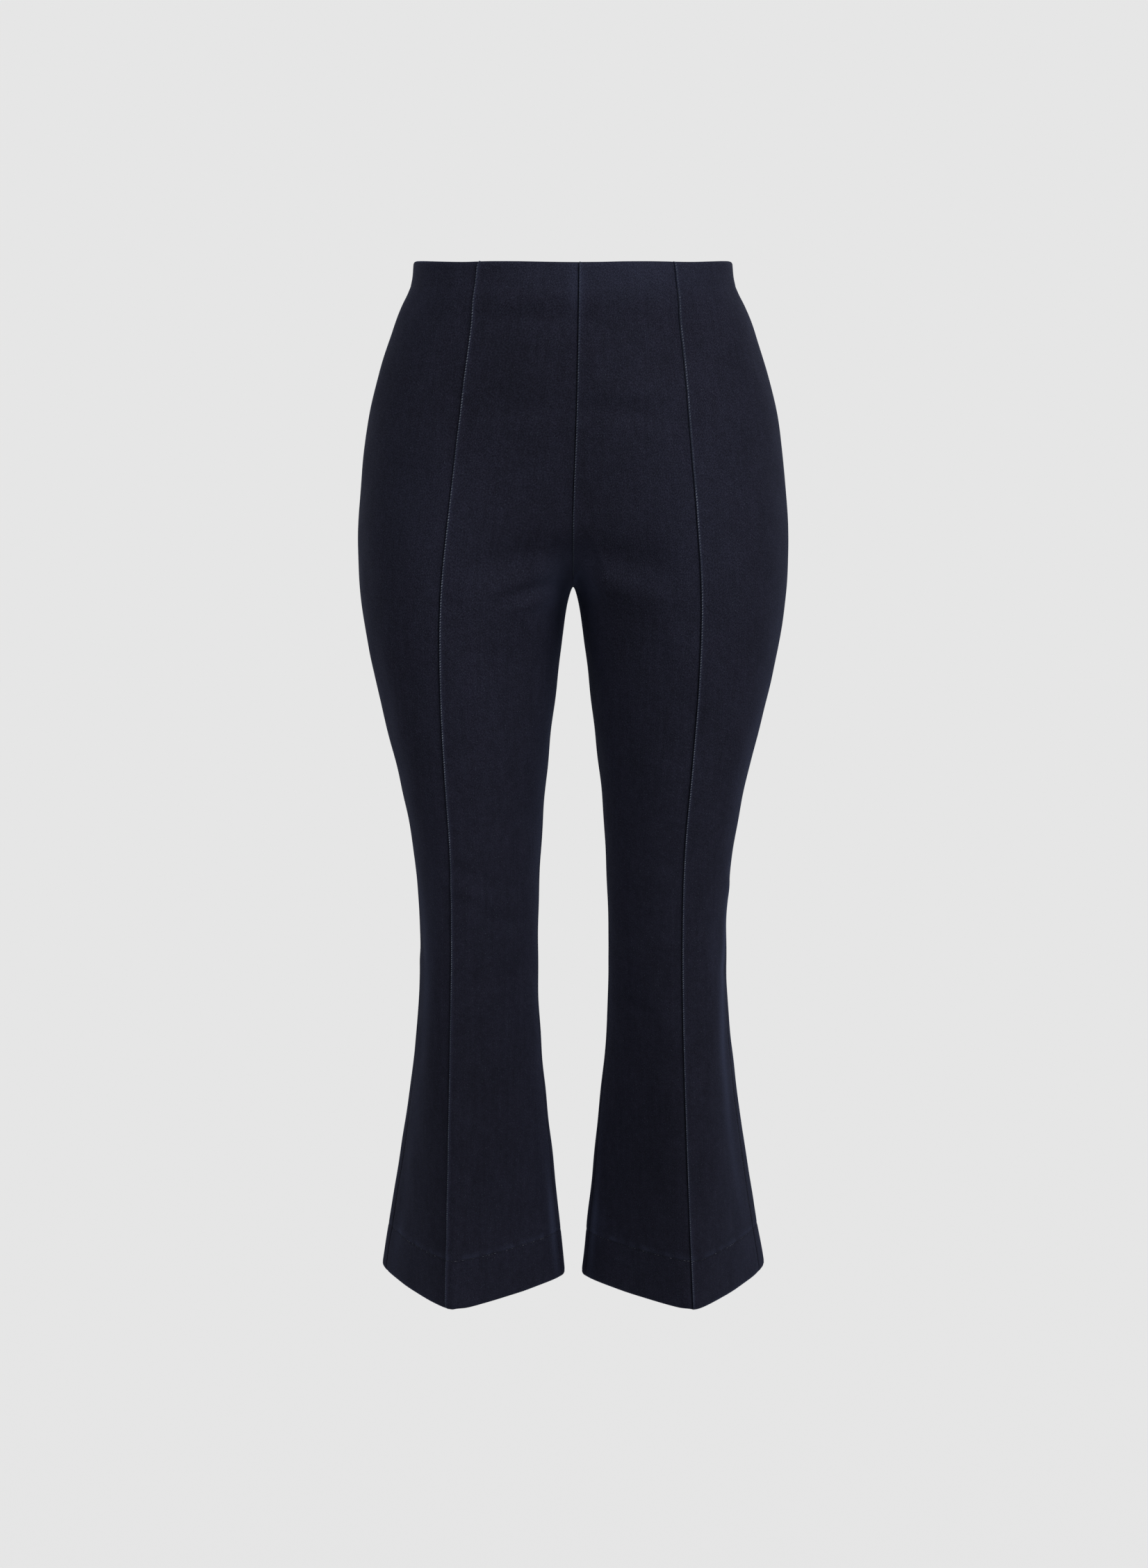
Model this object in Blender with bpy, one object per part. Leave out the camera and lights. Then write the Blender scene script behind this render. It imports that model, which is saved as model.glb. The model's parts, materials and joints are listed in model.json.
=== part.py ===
"""Flared jeans: pull-on, high in the waist and cropped, filled out as when worn.

The garment is six cut pieces of stretch denim, each a thin curved wall of its own. The
waist is open at the top and both legs are open at the hem. Metres, +Z up. The origin is
the middle of the waist opening, level with the waist edge at the side seams. The front
faces -Y, and the wearer's left side is +X.

The skin of each half is laid out in rows, from the waist down to the hem, and columns, from
the front of the crotch or the inside leg seam round to the back. Rows are read from the
guide lines below. Both halves have the same form, and only the seams lie differently.
"""

import math

import bmesh
import bpy
from mathutils import Vector

# Cloth and sewing
CLOTH = 0.0012  # one layer of denim
WAIST_WALL = 0.0030  # cloth turned in over the elastic
WAIST_FOLD = 0.021  # depth of the turned-in waist
HEM_WALL = 0.0024  # cloth turned up at the hem
HEM_FOLD = 0.039  # depth of the turned-up hem
SEAM_GAP = 0.0003  # space between two pieces at a seam
PINCH_HEIGHT = 0.0010  # how far the pinched edge of a front seam stands up
PINCH = (0.0, 0.0006, 0.0016, 0.0024)  # columns across that edge, from the seam
PINCH_SHAPE = (0.85, 1.0, 0.55, 0.0)  # its height at those columns

# Heights, all measured down from the waist edge
LENGTH = 0.864
FORK = 0.205  # where the crotch curve leaves the centre seams
JOIN = 0.340  # where both legs are plain tubes
CENTRE_DIP = 0.007  # the waist edge is lower at the centre front by this
SEAM_DIP = 0.0056  # and at the front seams by this

# The crotch curve, which runs in the middle plane from front to back
CROTCH_DOWN = 0.2695
CROTCH_BACK = 0.008  # how far its lowest point lies behind the middle
LOW_ROUND = 0.47  # how long it stays level at its lowest point
HIGH_ROUND = 0.30  # how long it stays in line with the centre seams
ARCH_WIDTH = 0.018  # how fast the cloth opens into an arch under the crotch
CORNER_SPREAD = 0.085  # the same at the two ends of the curve

# Guide lines. Each row is one station, and a piece of the section is as round as its
# "round" value: 0.38 is part of a circle and 0.1 is nearly two straight sides.
SIDE_COLUMNS = "down out back round"
SIDE_LINE = (
    (0.000, 0.1315, 0.000, 0.38),
    (0.018, 0.1338, 0.000, 0.38),
    (0.023, 0.1355, 0.001, 0.38),
    (0.036, 0.1420, 0.002, 0.38),
    (0.065, 0.1530, 0.004, 0.38),
    (0.120, 0.1690, 0.007, 0.38),
    (0.180, 0.1775, 0.009, 0.38),
    (0.240, 0.1810, 0.010, 0.38),
    (0.300, 0.1765, 0.009, 0.37),
    (0.370, 0.1620, 0.006, 0.37),
    (0.440, 0.1443, 0.002, 0.37),
    (0.500, 0.1338, -0.002, 0.37),
    (0.570, 0.1299, -0.003, 0.36),
    (0.640, 0.1340, 0.001, 0.32),
    (0.720, 0.1440, 0.008, 0.25),
    (0.790, 0.1552, 0.015, 0.18),
    (0.864, 0.1682, 0.022, 0.12),
)
# The foremost points of the legs; turn is in degrees off straight across.
FRONT_COLUMNS = "down out front turn round"
FRONT_LINE = (
    (0.000, 0.0787, 0.0745, 28.0, 0.35),
    (0.050, 0.0835, 0.0820, 24.0, 0.35),
    (0.100, 0.0890, 0.0890, 20.0, 0.35),
    (0.150, 0.0940, 0.0950, 15.0, 0.35),
    (0.205, 0.0995, 0.0985, 9.0, 0.35),
    (0.270, 0.1050, 0.0990, 2.0, 0.36),
    (0.340, 0.1050, 0.0945, 0.0, 0.37),
    (0.410, 0.1015, 0.0870, 0.0, 0.37),
    (0.480, 0.0970, 0.0775, 0.0, 0.36),
    (0.570, 0.0960, 0.0690, 0.0, 0.35),
    (0.640, 0.0968, 0.0710, 0.0, 0.29),
    (0.720, 0.0979, 0.0800, 0.0, 0.22),
    (0.790, 0.0987, 0.0895, 0.0, 0.16),
    (0.864, 0.0996, 0.1000, 0.0, 0.12),
)
INSIDE_COLUMNS = "down out back round"
INSIDE_LINE = (
    (0.320, 0.0102, 0.004, 0.37),
    (0.380, 0.0172, 0.001, 0.37),
    (0.440, 0.0240, -0.002, 0.37),
    (0.500, 0.0284, -0.004, 0.37),
    (0.570, 0.0305, -0.005, 0.36),
    (0.640, 0.0288, -0.004, 0.31),
    (0.700, 0.0236, -0.004, 0.26),
    (0.770, 0.0165, -0.003, 0.20),
    (0.864, 0.0068, -0.002, 0.12),
)
BACK_COLUMNS = "down out back turn round"
BACK_LINE = (
    (0.000, 0.0740, 0.0760, 28.0, 0.35),
    (0.050, 0.0790, 0.0880, 23.0, 0.35),
    (0.100, 0.0830, 0.1025, 17.0, 0.35),
    (0.150, 0.0860, 0.1155, 10.0, 0.35),
    (0.190, 0.0880, 0.1205, 5.0, 0.36),
    (0.230, 0.0890, 0.1185, 2.0, 0.37),
    (0.280, 0.0900, 0.1100, 0.0, 0.37),
    (0.340, 0.0910, 0.0965, 0.0, 0.37),
    (0.420, 0.0900, 0.0830, 0.0, 0.37),
    (0.500, 0.0860, 0.0690, 0.0, 0.37),
    (0.570, 0.0830, 0.0600, 0.0, 0.37),
    (0.640, 0.0830, 0.0640, 0.0, 0.36),
    (0.720, 0.0850, 0.0790, 0.0, 0.35),
    (0.790, 0.0880, 0.0930, 0.0, 0.33),
    (0.864, 0.0910, 0.1080, 0.0, 0.31),
)
CENTRE_COLUMNS = "down front back"  # the centre-front and centre-back seams
CENTRE_LINE = (
    (0.000, 0.0930, 0.0920),
    (0.050, 0.0990, 0.1005),
    (0.100, 0.1022, 0.1090),
    (0.150, 0.1005, 0.1105),
    (0.205, 0.0925, 0.1015),
)
# How far the front seams stray: the centre front and both leg seams, towards +X.
DRIFT_COLUMNS = "down centre legs"
DRIFT_LINE = (
    (0.000, 0.0050, 0.0040),
    (0.070, 0.0040, 0.0028),
    (0.135, 0.0025, 0.0016),
    (0.205, 0.0000, 0.0000),
    (0.300, 0.0000, -0.0015),
    (0.400, 0.0000, -0.0030),
    (0.600, 0.0000, -0.0042),
    (0.864, 0.0000, -0.0031),
)
# How far the leg seams lie from the widest and foremost points: the side and inside seams
# in front of them, the front seam on the outer side.
SEAM_COLUMNS = "down outside inside front"
SEAM_LINE = (
    (0.000, 0.001, 0.001, 0.0),
    (0.200, 0.001, 0.001, 0.0),
    (0.340, 0.004, 0.003, 0.0),
    (0.450, 0.009, 0.006, 0.0),
    (0.570, 0.015, 0.007, 0.0),
    (0.720, 0.018, 0.008, 0.0014),
    (0.790, 0.017, 0.009, 0.0026),
    (0.864, 0.016, 0.009, 0.0042),
)

# The net of points
WAIST_ROWS = (0.0, 0.0195, 0.0225, 0.036, 0.055, 0.080, 0.108, 0.134, 0.156, 0.175, 0.191,
              FORK)
FORK_STEPS = (0.07, 0.16, 0.28, 0.43, 0.60, 0.79)  # rows from FORK to JOIN, as shares
LEG_ROWS = (JOIN, 0.380, 0.420, 0.460, 0.500, 0.540, 0.580, 0.620, 0.660, 0.700, 0.740,
            0.780, 0.808, 0.8235, 0.8265, 0.845, LENGTH)
FORK_CELLS = 7  # columns along each half of the crotch curve
FRONT_CELLS = 6  # from the centre front to the front seam
SIDE_CELLS = 7  # from the front seam to the outside seam
HIP_CELLS = 7  # from the outside seam to the middle of the back
SEAT_CELLS = 5  # from there to the centre back
CENTRE_SEAM = FORK_CELLS  # the column of the centre front
FRONT_SEAM = CENTRE_SEAM + FRONT_CELLS + 2 * (len(PINCH) - 1)
OUTSIDE_SEAM = FRONT_SEAM + len(PINCH) - 1 + SIDE_CELLS
LAST_COLUMN = OUTSIDE_SEAM + HIP_CELLS + SEAT_CELLS + FORK_CELLS
FORK_SHARE = 0.45  # share of a leg's inner quarters that hangs from the crotch curve
SAMPLES = 40  # points read along a curve to measure it
SAME = 1e-5  # points closer than this are one point
NUDGE = 0.002  # height over which the direction of a column is measured
CORNER_FADE = 2  # how soon the corner's pull fades on the way to the next seam
PINCH_FADE = 3  # how late the columns by the centre front spread out above the fork
DRIFT_FRONT = 0.07  # the centre's drift is full this far in front of the middle
DRIFT_REACH = 0.08  # and gone this far to each side of it

# Each piece: its side of the body, its first and last columns, and the seam along which
# its edge is pinched up. The pinched edge is always the one nearer the wearer's left.
PIECES = (
    ("front_centre_left", 1, 0, FRONT_SEAM, CENTRE_SEAM),
    ("front_side_left", 1, FRONT_SEAM, OUTSIDE_SEAM, FRONT_SEAM),
    ("back_left", 1, OUTSIDE_SEAM, LAST_COLUMN, None),
    ("front_centre_right", -1, 0, FRONT_SEAM, FRONT_SEAM),
    ("front_side_right", -1, FRONT_SEAM, OUTSIDE_SEAM, None),
    ("back_right", -1, OUTSIDE_SEAM, LAST_COLUMN, None),
)

DENIM_COLOUR = (0.0135, 0.0145, 0.0250, 1.0)
DENIM_ROUGHNESS = 0.86


def read(line, columns, name, down):
    """A named column of a guide line at a height, on a smooth curve through its rows."""
    place = columns.split().index(name)
    heights = [row[0] for row in line]
    values = [row[place] for row in line]
    down = min(max(down, heights[0]), heights[-1])
    after = next(i for i in range(1, len(heights)) if down <= heights[i])
    before = after - 1

    def grade(i):
        """Steepness at row i, from the rows on both sides of it."""
        grades = [
            (values[k + 1] - values[k]) / (heights[k + 1] - heights[k])
            for k in (i - 1, i)
            if 0 <= k < len(heights) - 1
        ]
        if len(grades) == 1:
            return grades[0]
        above = heights[i] - heights[i - 1]
        below = heights[i + 1] - heights[i]
        return (grades[0] * below + grades[1] * above) / (above + below)

    span = heights[after] - heights[before]
    share = (down - heights[before]) / span
    return hermite(share, values[before], values[after], grade(before) * span,
                   grade(after) * span)


def hermite(share, start, end, start_way, end_way):
    """A smooth step from start to end that leaves and arrives along the two ways."""
    square, cube = share**2, share**3
    return (
        start * (2 * cube - 3 * square + 1)
        + start_way * (cube - 2 * square + share)
        + end * (3 * square - 2 * cube)
        + end_way * (cube - square)
    )


def curve(start, end, start_way, end_way, start_round, end_round):
    """Points of a bow from start to end, along a way and as round as given at each end."""
    chord = (end - start).length
    first = start + start_way.normalized() * chord * start_round
    last = end - end_way.normalized() * chord * end_round
    points = []
    for i in range(SAMPLES + 1):
        t = i / SAMPLES
        points.append(
            start * (1 - t) ** 3
            + first * 3 * t * (1 - t) ** 2
            + last * 3 * t**2 * (1 - t)
            + end * t**3
        )
    return points


def lengths(points):
    """How far along a run of points each of them is."""
    total = [0.0]
    for a, b in zip(points, points[1:]):
        total.append(total[-1] + (b - a).length)
    return total


def point_at(points, distance):
    """The point of a run that lies at a distance along it."""
    total = lengths(points)
    distance = min(max(distance, 0.0), total[-1])
    i = next(k for k in range(1, len(total)) if distance <= total[k])
    share = (distance - total[i - 1]) / (total[i] - total[i - 1])
    return points[i - 1].lerp(points[i], share)


def cut(points, start, end):
    """The part of a run of points between two distances along it."""
    total = lengths(points)
    inner = [p for p, s in zip(points, total) if start + SAME < s < end - SAME]
    return [point_at(points, start), *inner, point_at(points, end)]


def even(points, cells):
    """Points at even distances along a run."""
    whole = lengths(points)[-1]
    return [point_at(points, whole * i / cells) for i in range(cells + 1)]


def beside_seams(points, cells, before, after):
    """Points at the given distances from the two ends of a run, and even ones between."""
    last = lengths(points)[-1] - after[-1]
    steps = [*before]
    steps += [before[-1] + (last - before[-1]) * (i + 1) / cells for i in range(cells)]
    steps += [last + after[-1] - step for step in reversed(after[:-1])]
    return [point_at(points, step) for step in steps]


def side_point(down):
    """The widest point of the hip or leg."""
    out = read(SIDE_LINE, SIDE_COLUMNS, "out", down)
    return Vector((out, read(SIDE_LINE, SIDE_COLUMNS, "back", down), -down))


def front_point(down):
    """The foremost point of the leg, where the front seam runs."""
    dip = SEAM_DIP * max(0.0, 1 - down / FORK)
    out = read(FRONT_LINE, FRONT_COLUMNS, "out", down)
    return Vector((out, -read(FRONT_LINE, FRONT_COLUMNS, "front", down), -down - dip))


def back_point(down):
    """The rearmost point of the seat or leg."""
    out = read(BACK_LINE, BACK_COLUMNS, "out", down)
    return Vector((out, read(BACK_LINE, BACK_COLUMNS, "back", down), -down))


def inside_point(down):
    """The innermost point of the leg, under the crotch."""
    out = read(INSIDE_LINE, INSIDE_COLUMNS, "out", down)
    return Vector((out, read(INSIDE_LINE, INSIDE_COLUMNS, "back", down), -down))


def centre_point(down, name):
    """A point of the centre-front or centre-back seam, above the crotch curve."""
    depth = read(CENTRE_LINE, CENTRE_COLUMNS, name, down)
    if name == "back":
        return Vector((0.0, depth, -down))
    dip = CENTRE_DIP * max(0.0, 1 - down / FORK)
    return Vector((0.0, -depth, -down - dip))


def crotch_curve(name):
    """Half of the crotch curve, from its lowest point up to the centre front or back."""
    top = centre_point(FORK, name)
    low = Vector((0.0, CROTCH_BACK, -CROTCH_DOWN))
    level = Vector((0.0, top.y - low.y, 0.0))
    up = centre_point(FORK - NUDGE, name) - top
    return curve(low, top, level, up, LOW_ROUND, HIGH_ROUND)


def quarters(down):
    """The section at a height: inner front, outer front, outer back and inner back."""
    front, side, back = front_point(down), side_point(down), back_point(down)
    front_turn = math.radians(read(FRONT_LINE, FRONT_COLUMNS, "turn", down))
    back_turn = math.radians(read(BACK_LINE, BACK_COLUMNS, "turn", down))
    front_round = read(FRONT_LINE, FRONT_COLUMNS, "round", down)
    side_round = read(SIDE_LINE, SIDE_COLUMNS, "round", down)
    back_round = read(BACK_LINE, BACK_COLUMNS, "round", down)
    out_along_front = Vector((math.cos(front_turn), math.sin(front_turn), 0.0))
    in_along_back = Vector((-math.cos(back_turn), math.sin(back_turn), 0.0))
    to_back, to_front = Vector((0.0, 1.0, 0.0)), Vector((0.0, -1.0, 0.0))
    if down <= FORK:
        start, start_way = centre_point(down, "front"), Vector((1.0, 0.0, 0.0))
        end, end_way = centre_point(down, "back"), Vector((-1.0, 0.0, 0.0))
        inner_round = front_round
    else:
        start = end = inside_point(down)
        start_way = end_way = to_front
        inner_round = read(INSIDE_LINE, INSIDE_COLUMNS, "round", down)
    return (
        curve(start, front, start_way, out_along_front, inner_round, front_round),
        curve(front, side, out_along_front, to_back, front_round, side_round),
        curve(side, back, to_back, in_along_back, side_round, back_round),
        curve(back, end, in_along_back, end_way, back_round, inner_round),
    )


def stretches(down, side):
    """The columns of one row, from seam to seam."""
    inner_front, outer_front, outer_back, inner_back = quarters(down)
    front_whole = inner_front[:-1] + outer_front
    side_at = lengths(front_whole)[-1]
    drift = side * read(DRIFT_LINE, DRIFT_COLUMNS, "legs", down)
    seam_at = lengths(inner_front)[-1] + read(SEAM_LINE, SEAM_COLUMNS, "front", down) + drift
    outside_at = side_at - read(SEAM_LINE, SEAM_COLUMNS, "outside", down) + min(drift, 0.0)
    hip_run = cut(front_whole, outside_at, side_at)[:-1] + outer_back
    row = {"hip": even(hip_run, HIP_CELLS)}
    side_run = cut(front_whole, seam_at, outside_at)
    row["side"] = beside_seams(side_run, SIDE_CELLS, PINCH, (0.0,))
    if down <= FORK:
        spread = (down / FORK) ** PINCH_FADE
        wide = (seam_at - PINCH[-1]) / (FRONT_CELLS + len(PINCH) - 1)
        by_centre = [step + (wide * k - step) * spread for k, step in enumerate(PINCH)]
        front_run = cut(front_whole, 0.0, seam_at)
        row["front"] = beside_seams(front_run, FRONT_CELLS, by_centre, PINCH)
        row["seat"] = even(inner_back, SEAT_CELLS)
        return row
    inside = read(SEAM_LINE, SEAM_COLUMNS, "inside", down)
    front_knot = inside + (seam_at - inside) * FORK_SHARE
    row["fork_front"] = even(cut(front_whole, inside, front_knot), FORK_CELLS)
    cells = FRONT_CELLS + len(PINCH) - 1
    row["front"] = beside_seams(cut(front_whole, front_knot, seam_at), cells, (0.0,), PINCH)
    back_whole = lengths(inner_back)[-1]
    back_knot = back_whole * (1 - FORK_SHARE)
    row["seat"] = even(cut(inner_back, 0.0, back_knot), SEAT_CELLS)
    under = cut(inner_back, back_knot, back_whole)[:-1] + cut(front_whole, 0.0, inside)
    row["fork_back"] = even(under, FORK_CELLS)
    return row


def fork_row(side):
    """The row that runs along the crotch curve."""
    row = stretches(FORK, side)
    row["fork_front"] = even(crotch_curve("front"), FORK_CELLS)
    row["fork_back"] = even(crotch_curve("back")[::-1], FORK_CELLS)
    return row


def rows_below_fork(side):
    """The rows that turn the crotch curve into a plain tube."""
    top, bottom = fork_row(side), stretches(JOIN, side)
    above, below = stretches(FORK - NUDGE, side), stretches(JOIN + NUDGE, side)
    span = JOIN - FORK
    rows = []
    for share in FORK_STEPS:
        row = stretches(FORK + share * span, side)
        for name in ("fork_front", "front", "seat", "fork_back"):
            ends = zip(top[name], bottom[name], below[name])
            row[name] = [
                hermite(share, start, end, leaving_way(name, i, top, above) * span,
                        (after - end) / NUDGE * span)
                for i, (start, end, after) in enumerate(ends)
            ]
        slide(row["front"], row["side"][0])
        row["seat"].reverse()
        slide(row["seat"], row["hip"][-1])
        row["seat"].reverse()
        rows.append(row)
    return rows


def leaving_way(name, i, top, above):
    """Which way, for each metre of height, a column leaves the row of the crotch curve."""
    line = top[name]
    along = i / (len(line) - 1)
    reach = CORNER_SPREAD / (JOIN - FORK)
    if name in ("front", "seat"):
        from_corner = along if name == "front" else 1 - along
        plain = (line[i] - above[name][i]) / NUDGE
        corner = (plain + Vector((1.0, 0.0, 0.0))) * reach
        return plain.lerp(corner, (1 - from_corner) ** CORNER_FADE)
    from_low = along if name == "fork_front" else 1 - along
    before, after = line[max(i - 1, 0)], line[min(i + 1, len(line) - 1)]
    down_curve = (before - after).normalized()
    if name == "fork_back":
        down_curve = -down_curve
    arch = ARCH_WIDTH / (JOIN - FORK)
    out = Vector((arch + (reach - arch) * from_low, 0.0, 0.0))
    return out + down_curve * reach * from_low ** CORNER_FADE


def slide(points, end):
    """Moves the last of the points to end, and those before it less and less."""
    move = end - points[-1]
    for i in range(len(points)):
        points[i] = points[i] + move * (i / (len(points) - 1))


def row_heights():
    """How far down each row of the net lies at the side."""
    span = JOIN - FORK
    return [*WAIST_ROWS, *(FORK + share * span for share in FORK_STEPS), *LEG_ROWS]


def half_net(side):
    """One half as rows of points, with None where a row has no such column."""
    rows = [stretches(down, side) for down in WAIST_ROWS[:-1]]
    rows.append(fork_row(side))
    rows += rows_below_fork(side)
    rows += [stretches(down, side) for down in LEG_ROWS]
    net = []
    for row in rows:
        no_fork = [None] * (FORK_CELLS + 1)
        line = row.get("fork_front", no_fork)[:-1] + row["front"]
        for name in ("side", "hip", "seat"):
            line = line + row[name][1:]
        line = line + row.get("fork_back", no_fork)[1:]
        net.append([p and Vector((p.x * side, p.y, p.z)) for p in line])
    return net


def key(point):
    """Points with the same key are one point of the skin."""
    return tuple(round(c / SAME) for c in point)


def skin_normals(nets):
    """Outward directions over both halves, smooth across every seam."""
    skin = bmesh.new()
    corners = {}
    for side, net in nets.items():
        for upper, lower in zip(net, net[1:]):
            for i in range(len(upper) - 1):
                ring = [upper[i], lower[i], lower[i + 1], upper[i + 1]][::side]
                if None in ring:
                    continue
                for p in ring:
                    if key(p) not in corners:
                        corners[key(p)] = skin.verts.new(p)
                skin.faces.new([corners[key(p)] for p in ring])
    skin.normal_update()
    normals = {k: corner.normal.copy() for k, corner in corners.items()}
    skin.free()
    return normals


def wall_at(down):
    """Thickness of the cloth at a height."""
    if down < WAIST_FOLD:
        return WAIST_WALL
    if down > LENGTH - HEM_FOLD:
        return HEM_WALL
    return CLOTH


def pinch_at(column, seam, down):
    """How far a column of a piece stands up beside its pinched seam."""
    steps = abs(column - seam)
    if steps >= len(PINCH):
        return 0.0
    if seam == CENTRE_SEAM:
        return PINCH_HEIGHT * PINCH_SHAPE[steps] * max(0.0, 1 - (down / FORK) ** 2)
    return PINCH_HEIGHT * PINCH_SHAPE[steps]


def placed(point, side):
    """A point kept on its own side of the middle, with the centre front's drift."""
    out = max(point.x * side, SEAM_GAP / 2)
    share = smooth(-point.y / DRIFT_FRONT) * smooth(1 - out / DRIFT_REACH)
    drift = read(DRIFT_LINE, DRIFT_COLUMNS, "centre", -point.z) * share
    return Vector((out * side + drift, point.y, point.z))


def smooth(share):
    """A soft step from 0 to 1."""
    share = min(max(share, 0.0), 1.0)
    return share * share * (3 - 2 * share)


def make_piece(name, side, nets, normals, first, last, pinched):
    """One cut piece: a sheet over some columns of the net, thickened on its inside."""
    net, downs = nets[side], row_heights()
    body = bmesh.new()
    inward = body.verts.layers.float_vector.new("inward")
    corners = {}
    for j, (row, down) in enumerate(zip(net, downs)):
        columns = [i for i in range(first, last + 1) if row[i] is not None]
        for i in columns:
            point, normal = row[i].copy(), normals[key(row[i])]
            if i in (columns[0], columns[-1]):
                beside = row[i + 1] if i == columns[0] else row[i - 1]
                point += (beside - point).normalized() * SEAM_GAP / 2
            raised = 0.0 if pinched is None else pinch_at(i, pinched, down)
            outer = placed(point + normal * raised, side)
            corners[j, i] = body.verts.new(outer)
            corners[j, i][inward] = placed(point - normal * wall_at(down), side) - outer
    for j in range(len(net) - 1):
        for i in range(first, last):
            places = ((j, i), (j + 1, i), (j + 1, i + 1), (j, i + 1))
            if all(place in corners for place in places):
                body.faces.new([corners[place] for place in places])
    wall = bmesh.ops.extrude_face_region(body, geom=body.faces[:], use_keep_orig=True)
    for item in wall["geom"]:
        if isinstance(item, bmesh.types.BMVert):
            item.co += item[inward]
    bmesh.ops.recalc_face_normals(body, faces=body.faces)
    if body.calc_volume(signed=True) < 0:
        bmesh.ops.reverse_faces(body, faces=body.faces)
    mesh = bpy.data.meshes.new(name)
    body.to_mesh(mesh)
    body.free()
    return bpy.data.objects.new(name, mesh)


def denim(name):
    """Dark indigo denim for one piece."""
    material = bpy.data.materials.new(name)
    material.use_nodes = True
    shader = material.node_tree.nodes["Principled BSDF"]
    shader.inputs["Base Color"].default_value = DENIM_COLOUR
    shader.inputs["Roughness"].default_value = DENIM_ROUGHNESS
    shader.inputs["Metallic"].default_value = 0.0
    return material


def main():
    """Clears the scene and makes the six pieces."""
    for thing in list(bpy.data.objects):
        bpy.data.objects.remove(thing)
    jeans = bpy.data.collections.new("flared_jeans")
    bpy.context.scene.collection.children.link(jeans)
    nets = {side: half_net(side) for side in (1, -1)}
    normals = skin_normals(nets)
    for name, side, first, last, pinched in PIECES:
        piece = make_piece(name, side, nets, normals, first, last, pinched)
        piece.data.materials.append(denim(f"denim_{name}"))
        jeans.objects.link(piece)


main()
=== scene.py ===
"""Flared jeans: the looks of a pull-on pair in dark stretch denim, filled out as when worn.

The file is laid out as a Blender add-on and run as a script. Each operator in the sidebar's
Jeans tab makes one pair of cut pieces, one kind of sewing, or the studio. Metres, +Z up. The
origin is the middle of the waist opening, the front faces -Y, and the wearer's left is +X.

Each half of the garment is a skin of rows, from the waist down to the hem, and columns, from
the front of the crotch or the inside leg seam round to the back. The guide lines are those of
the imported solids, read at many more heights, and the creases, seams and folds are laid on it.
"""

import json
import math
from functools import partial

import bpy
import numpy as np
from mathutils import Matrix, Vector
from mathutils.kdtree import KDTree

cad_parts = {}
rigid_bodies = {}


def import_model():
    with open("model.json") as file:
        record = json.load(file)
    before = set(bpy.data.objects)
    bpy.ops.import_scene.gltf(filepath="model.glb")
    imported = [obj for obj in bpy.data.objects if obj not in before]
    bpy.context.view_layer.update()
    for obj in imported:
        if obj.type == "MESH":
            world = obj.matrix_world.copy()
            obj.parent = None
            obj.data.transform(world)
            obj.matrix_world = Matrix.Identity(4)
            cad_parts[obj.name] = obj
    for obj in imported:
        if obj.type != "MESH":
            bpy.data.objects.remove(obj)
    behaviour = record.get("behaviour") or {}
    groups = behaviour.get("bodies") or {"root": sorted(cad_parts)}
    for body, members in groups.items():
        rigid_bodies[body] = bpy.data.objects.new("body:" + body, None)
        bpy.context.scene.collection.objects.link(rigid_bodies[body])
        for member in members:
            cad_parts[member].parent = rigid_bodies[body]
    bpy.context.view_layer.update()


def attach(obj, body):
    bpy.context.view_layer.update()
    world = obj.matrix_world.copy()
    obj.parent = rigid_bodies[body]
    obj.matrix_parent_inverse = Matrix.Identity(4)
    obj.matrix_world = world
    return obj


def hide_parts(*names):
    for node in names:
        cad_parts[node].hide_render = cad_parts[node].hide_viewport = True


bl_info = {
    "name": "Flared Jeans",
    "version": (1, 0, 0),
    "blender": (4, 5, 0),
    "location": "3D View > Sidebar > Jeans",
    "description": "Dresses a pair of flared jeans in dark stretch denim and lights them",
    "category": "Object",
}

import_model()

# Heights, all measured down from the waist edge
LENGTH = 0.864  # the hem edge at the side seams
FORK = 0.205  # where the crotch curve leaves the centre seams
JOIN = 0.340  # where both legs are plain tubes
CENTRE_DIP = 0.0056  # the waist edge is lower at the centre front by this
SEAM_DIP = 0.0040  # and at the front seams by this

# The crotch curve, which runs in the middle plane from front to back
CROTCH_DOWN = 0.2695  # its lowest point
CROTCH_BACK = 0.008  # and how far behind the middle that is
LOW_ROUND = 0.47  # how round it is at that point
HIGH_ROUND = 0.30  # and where it meets the centre seams
ARCH_WIDTH = 0.0065  # how far out the columns spread below its lowest point
CORNER_SPREAD = 0.085  # and below its ends

# Guide lines. The first row names the columns and each other row is one station. "turn" is
# how far the section is turned there, in degrees, and "round" how round it is.
SIDE_LINE = (
    ("down", "out", "back", "round"),
    (0.000, 0.1315, 0.000, 0.38),
    (0.018, 0.1338, 0.000, 0.38),
    (0.023, 0.1355, 0.001, 0.38),
    (0.036, 0.1420, 0.002, 0.38),
    (0.065, 0.1530, 0.004, 0.38),
    (0.120, 0.1690, 0.007, 0.38),
    (0.180, 0.1775, 0.009, 0.38),
    (0.240, 0.1810, 0.010, 0.38),
    (0.300, 0.1765, 0.009, 0.37),
    (0.370, 0.1620, 0.006, 0.37),
    (0.440, 0.1443, 0.002, 0.37),
    (0.500, 0.1338, -0.002, 0.37),
    (0.570, 0.1299, -0.003, 0.36),
    (0.640, 0.1340, 0.001, 0.32),
    (0.720, 0.1440, 0.008, 0.25),
    (0.790, 0.1552, 0.015, 0.18),
    (0.864, 0.1682, 0.022, 0.12),
)
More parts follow.
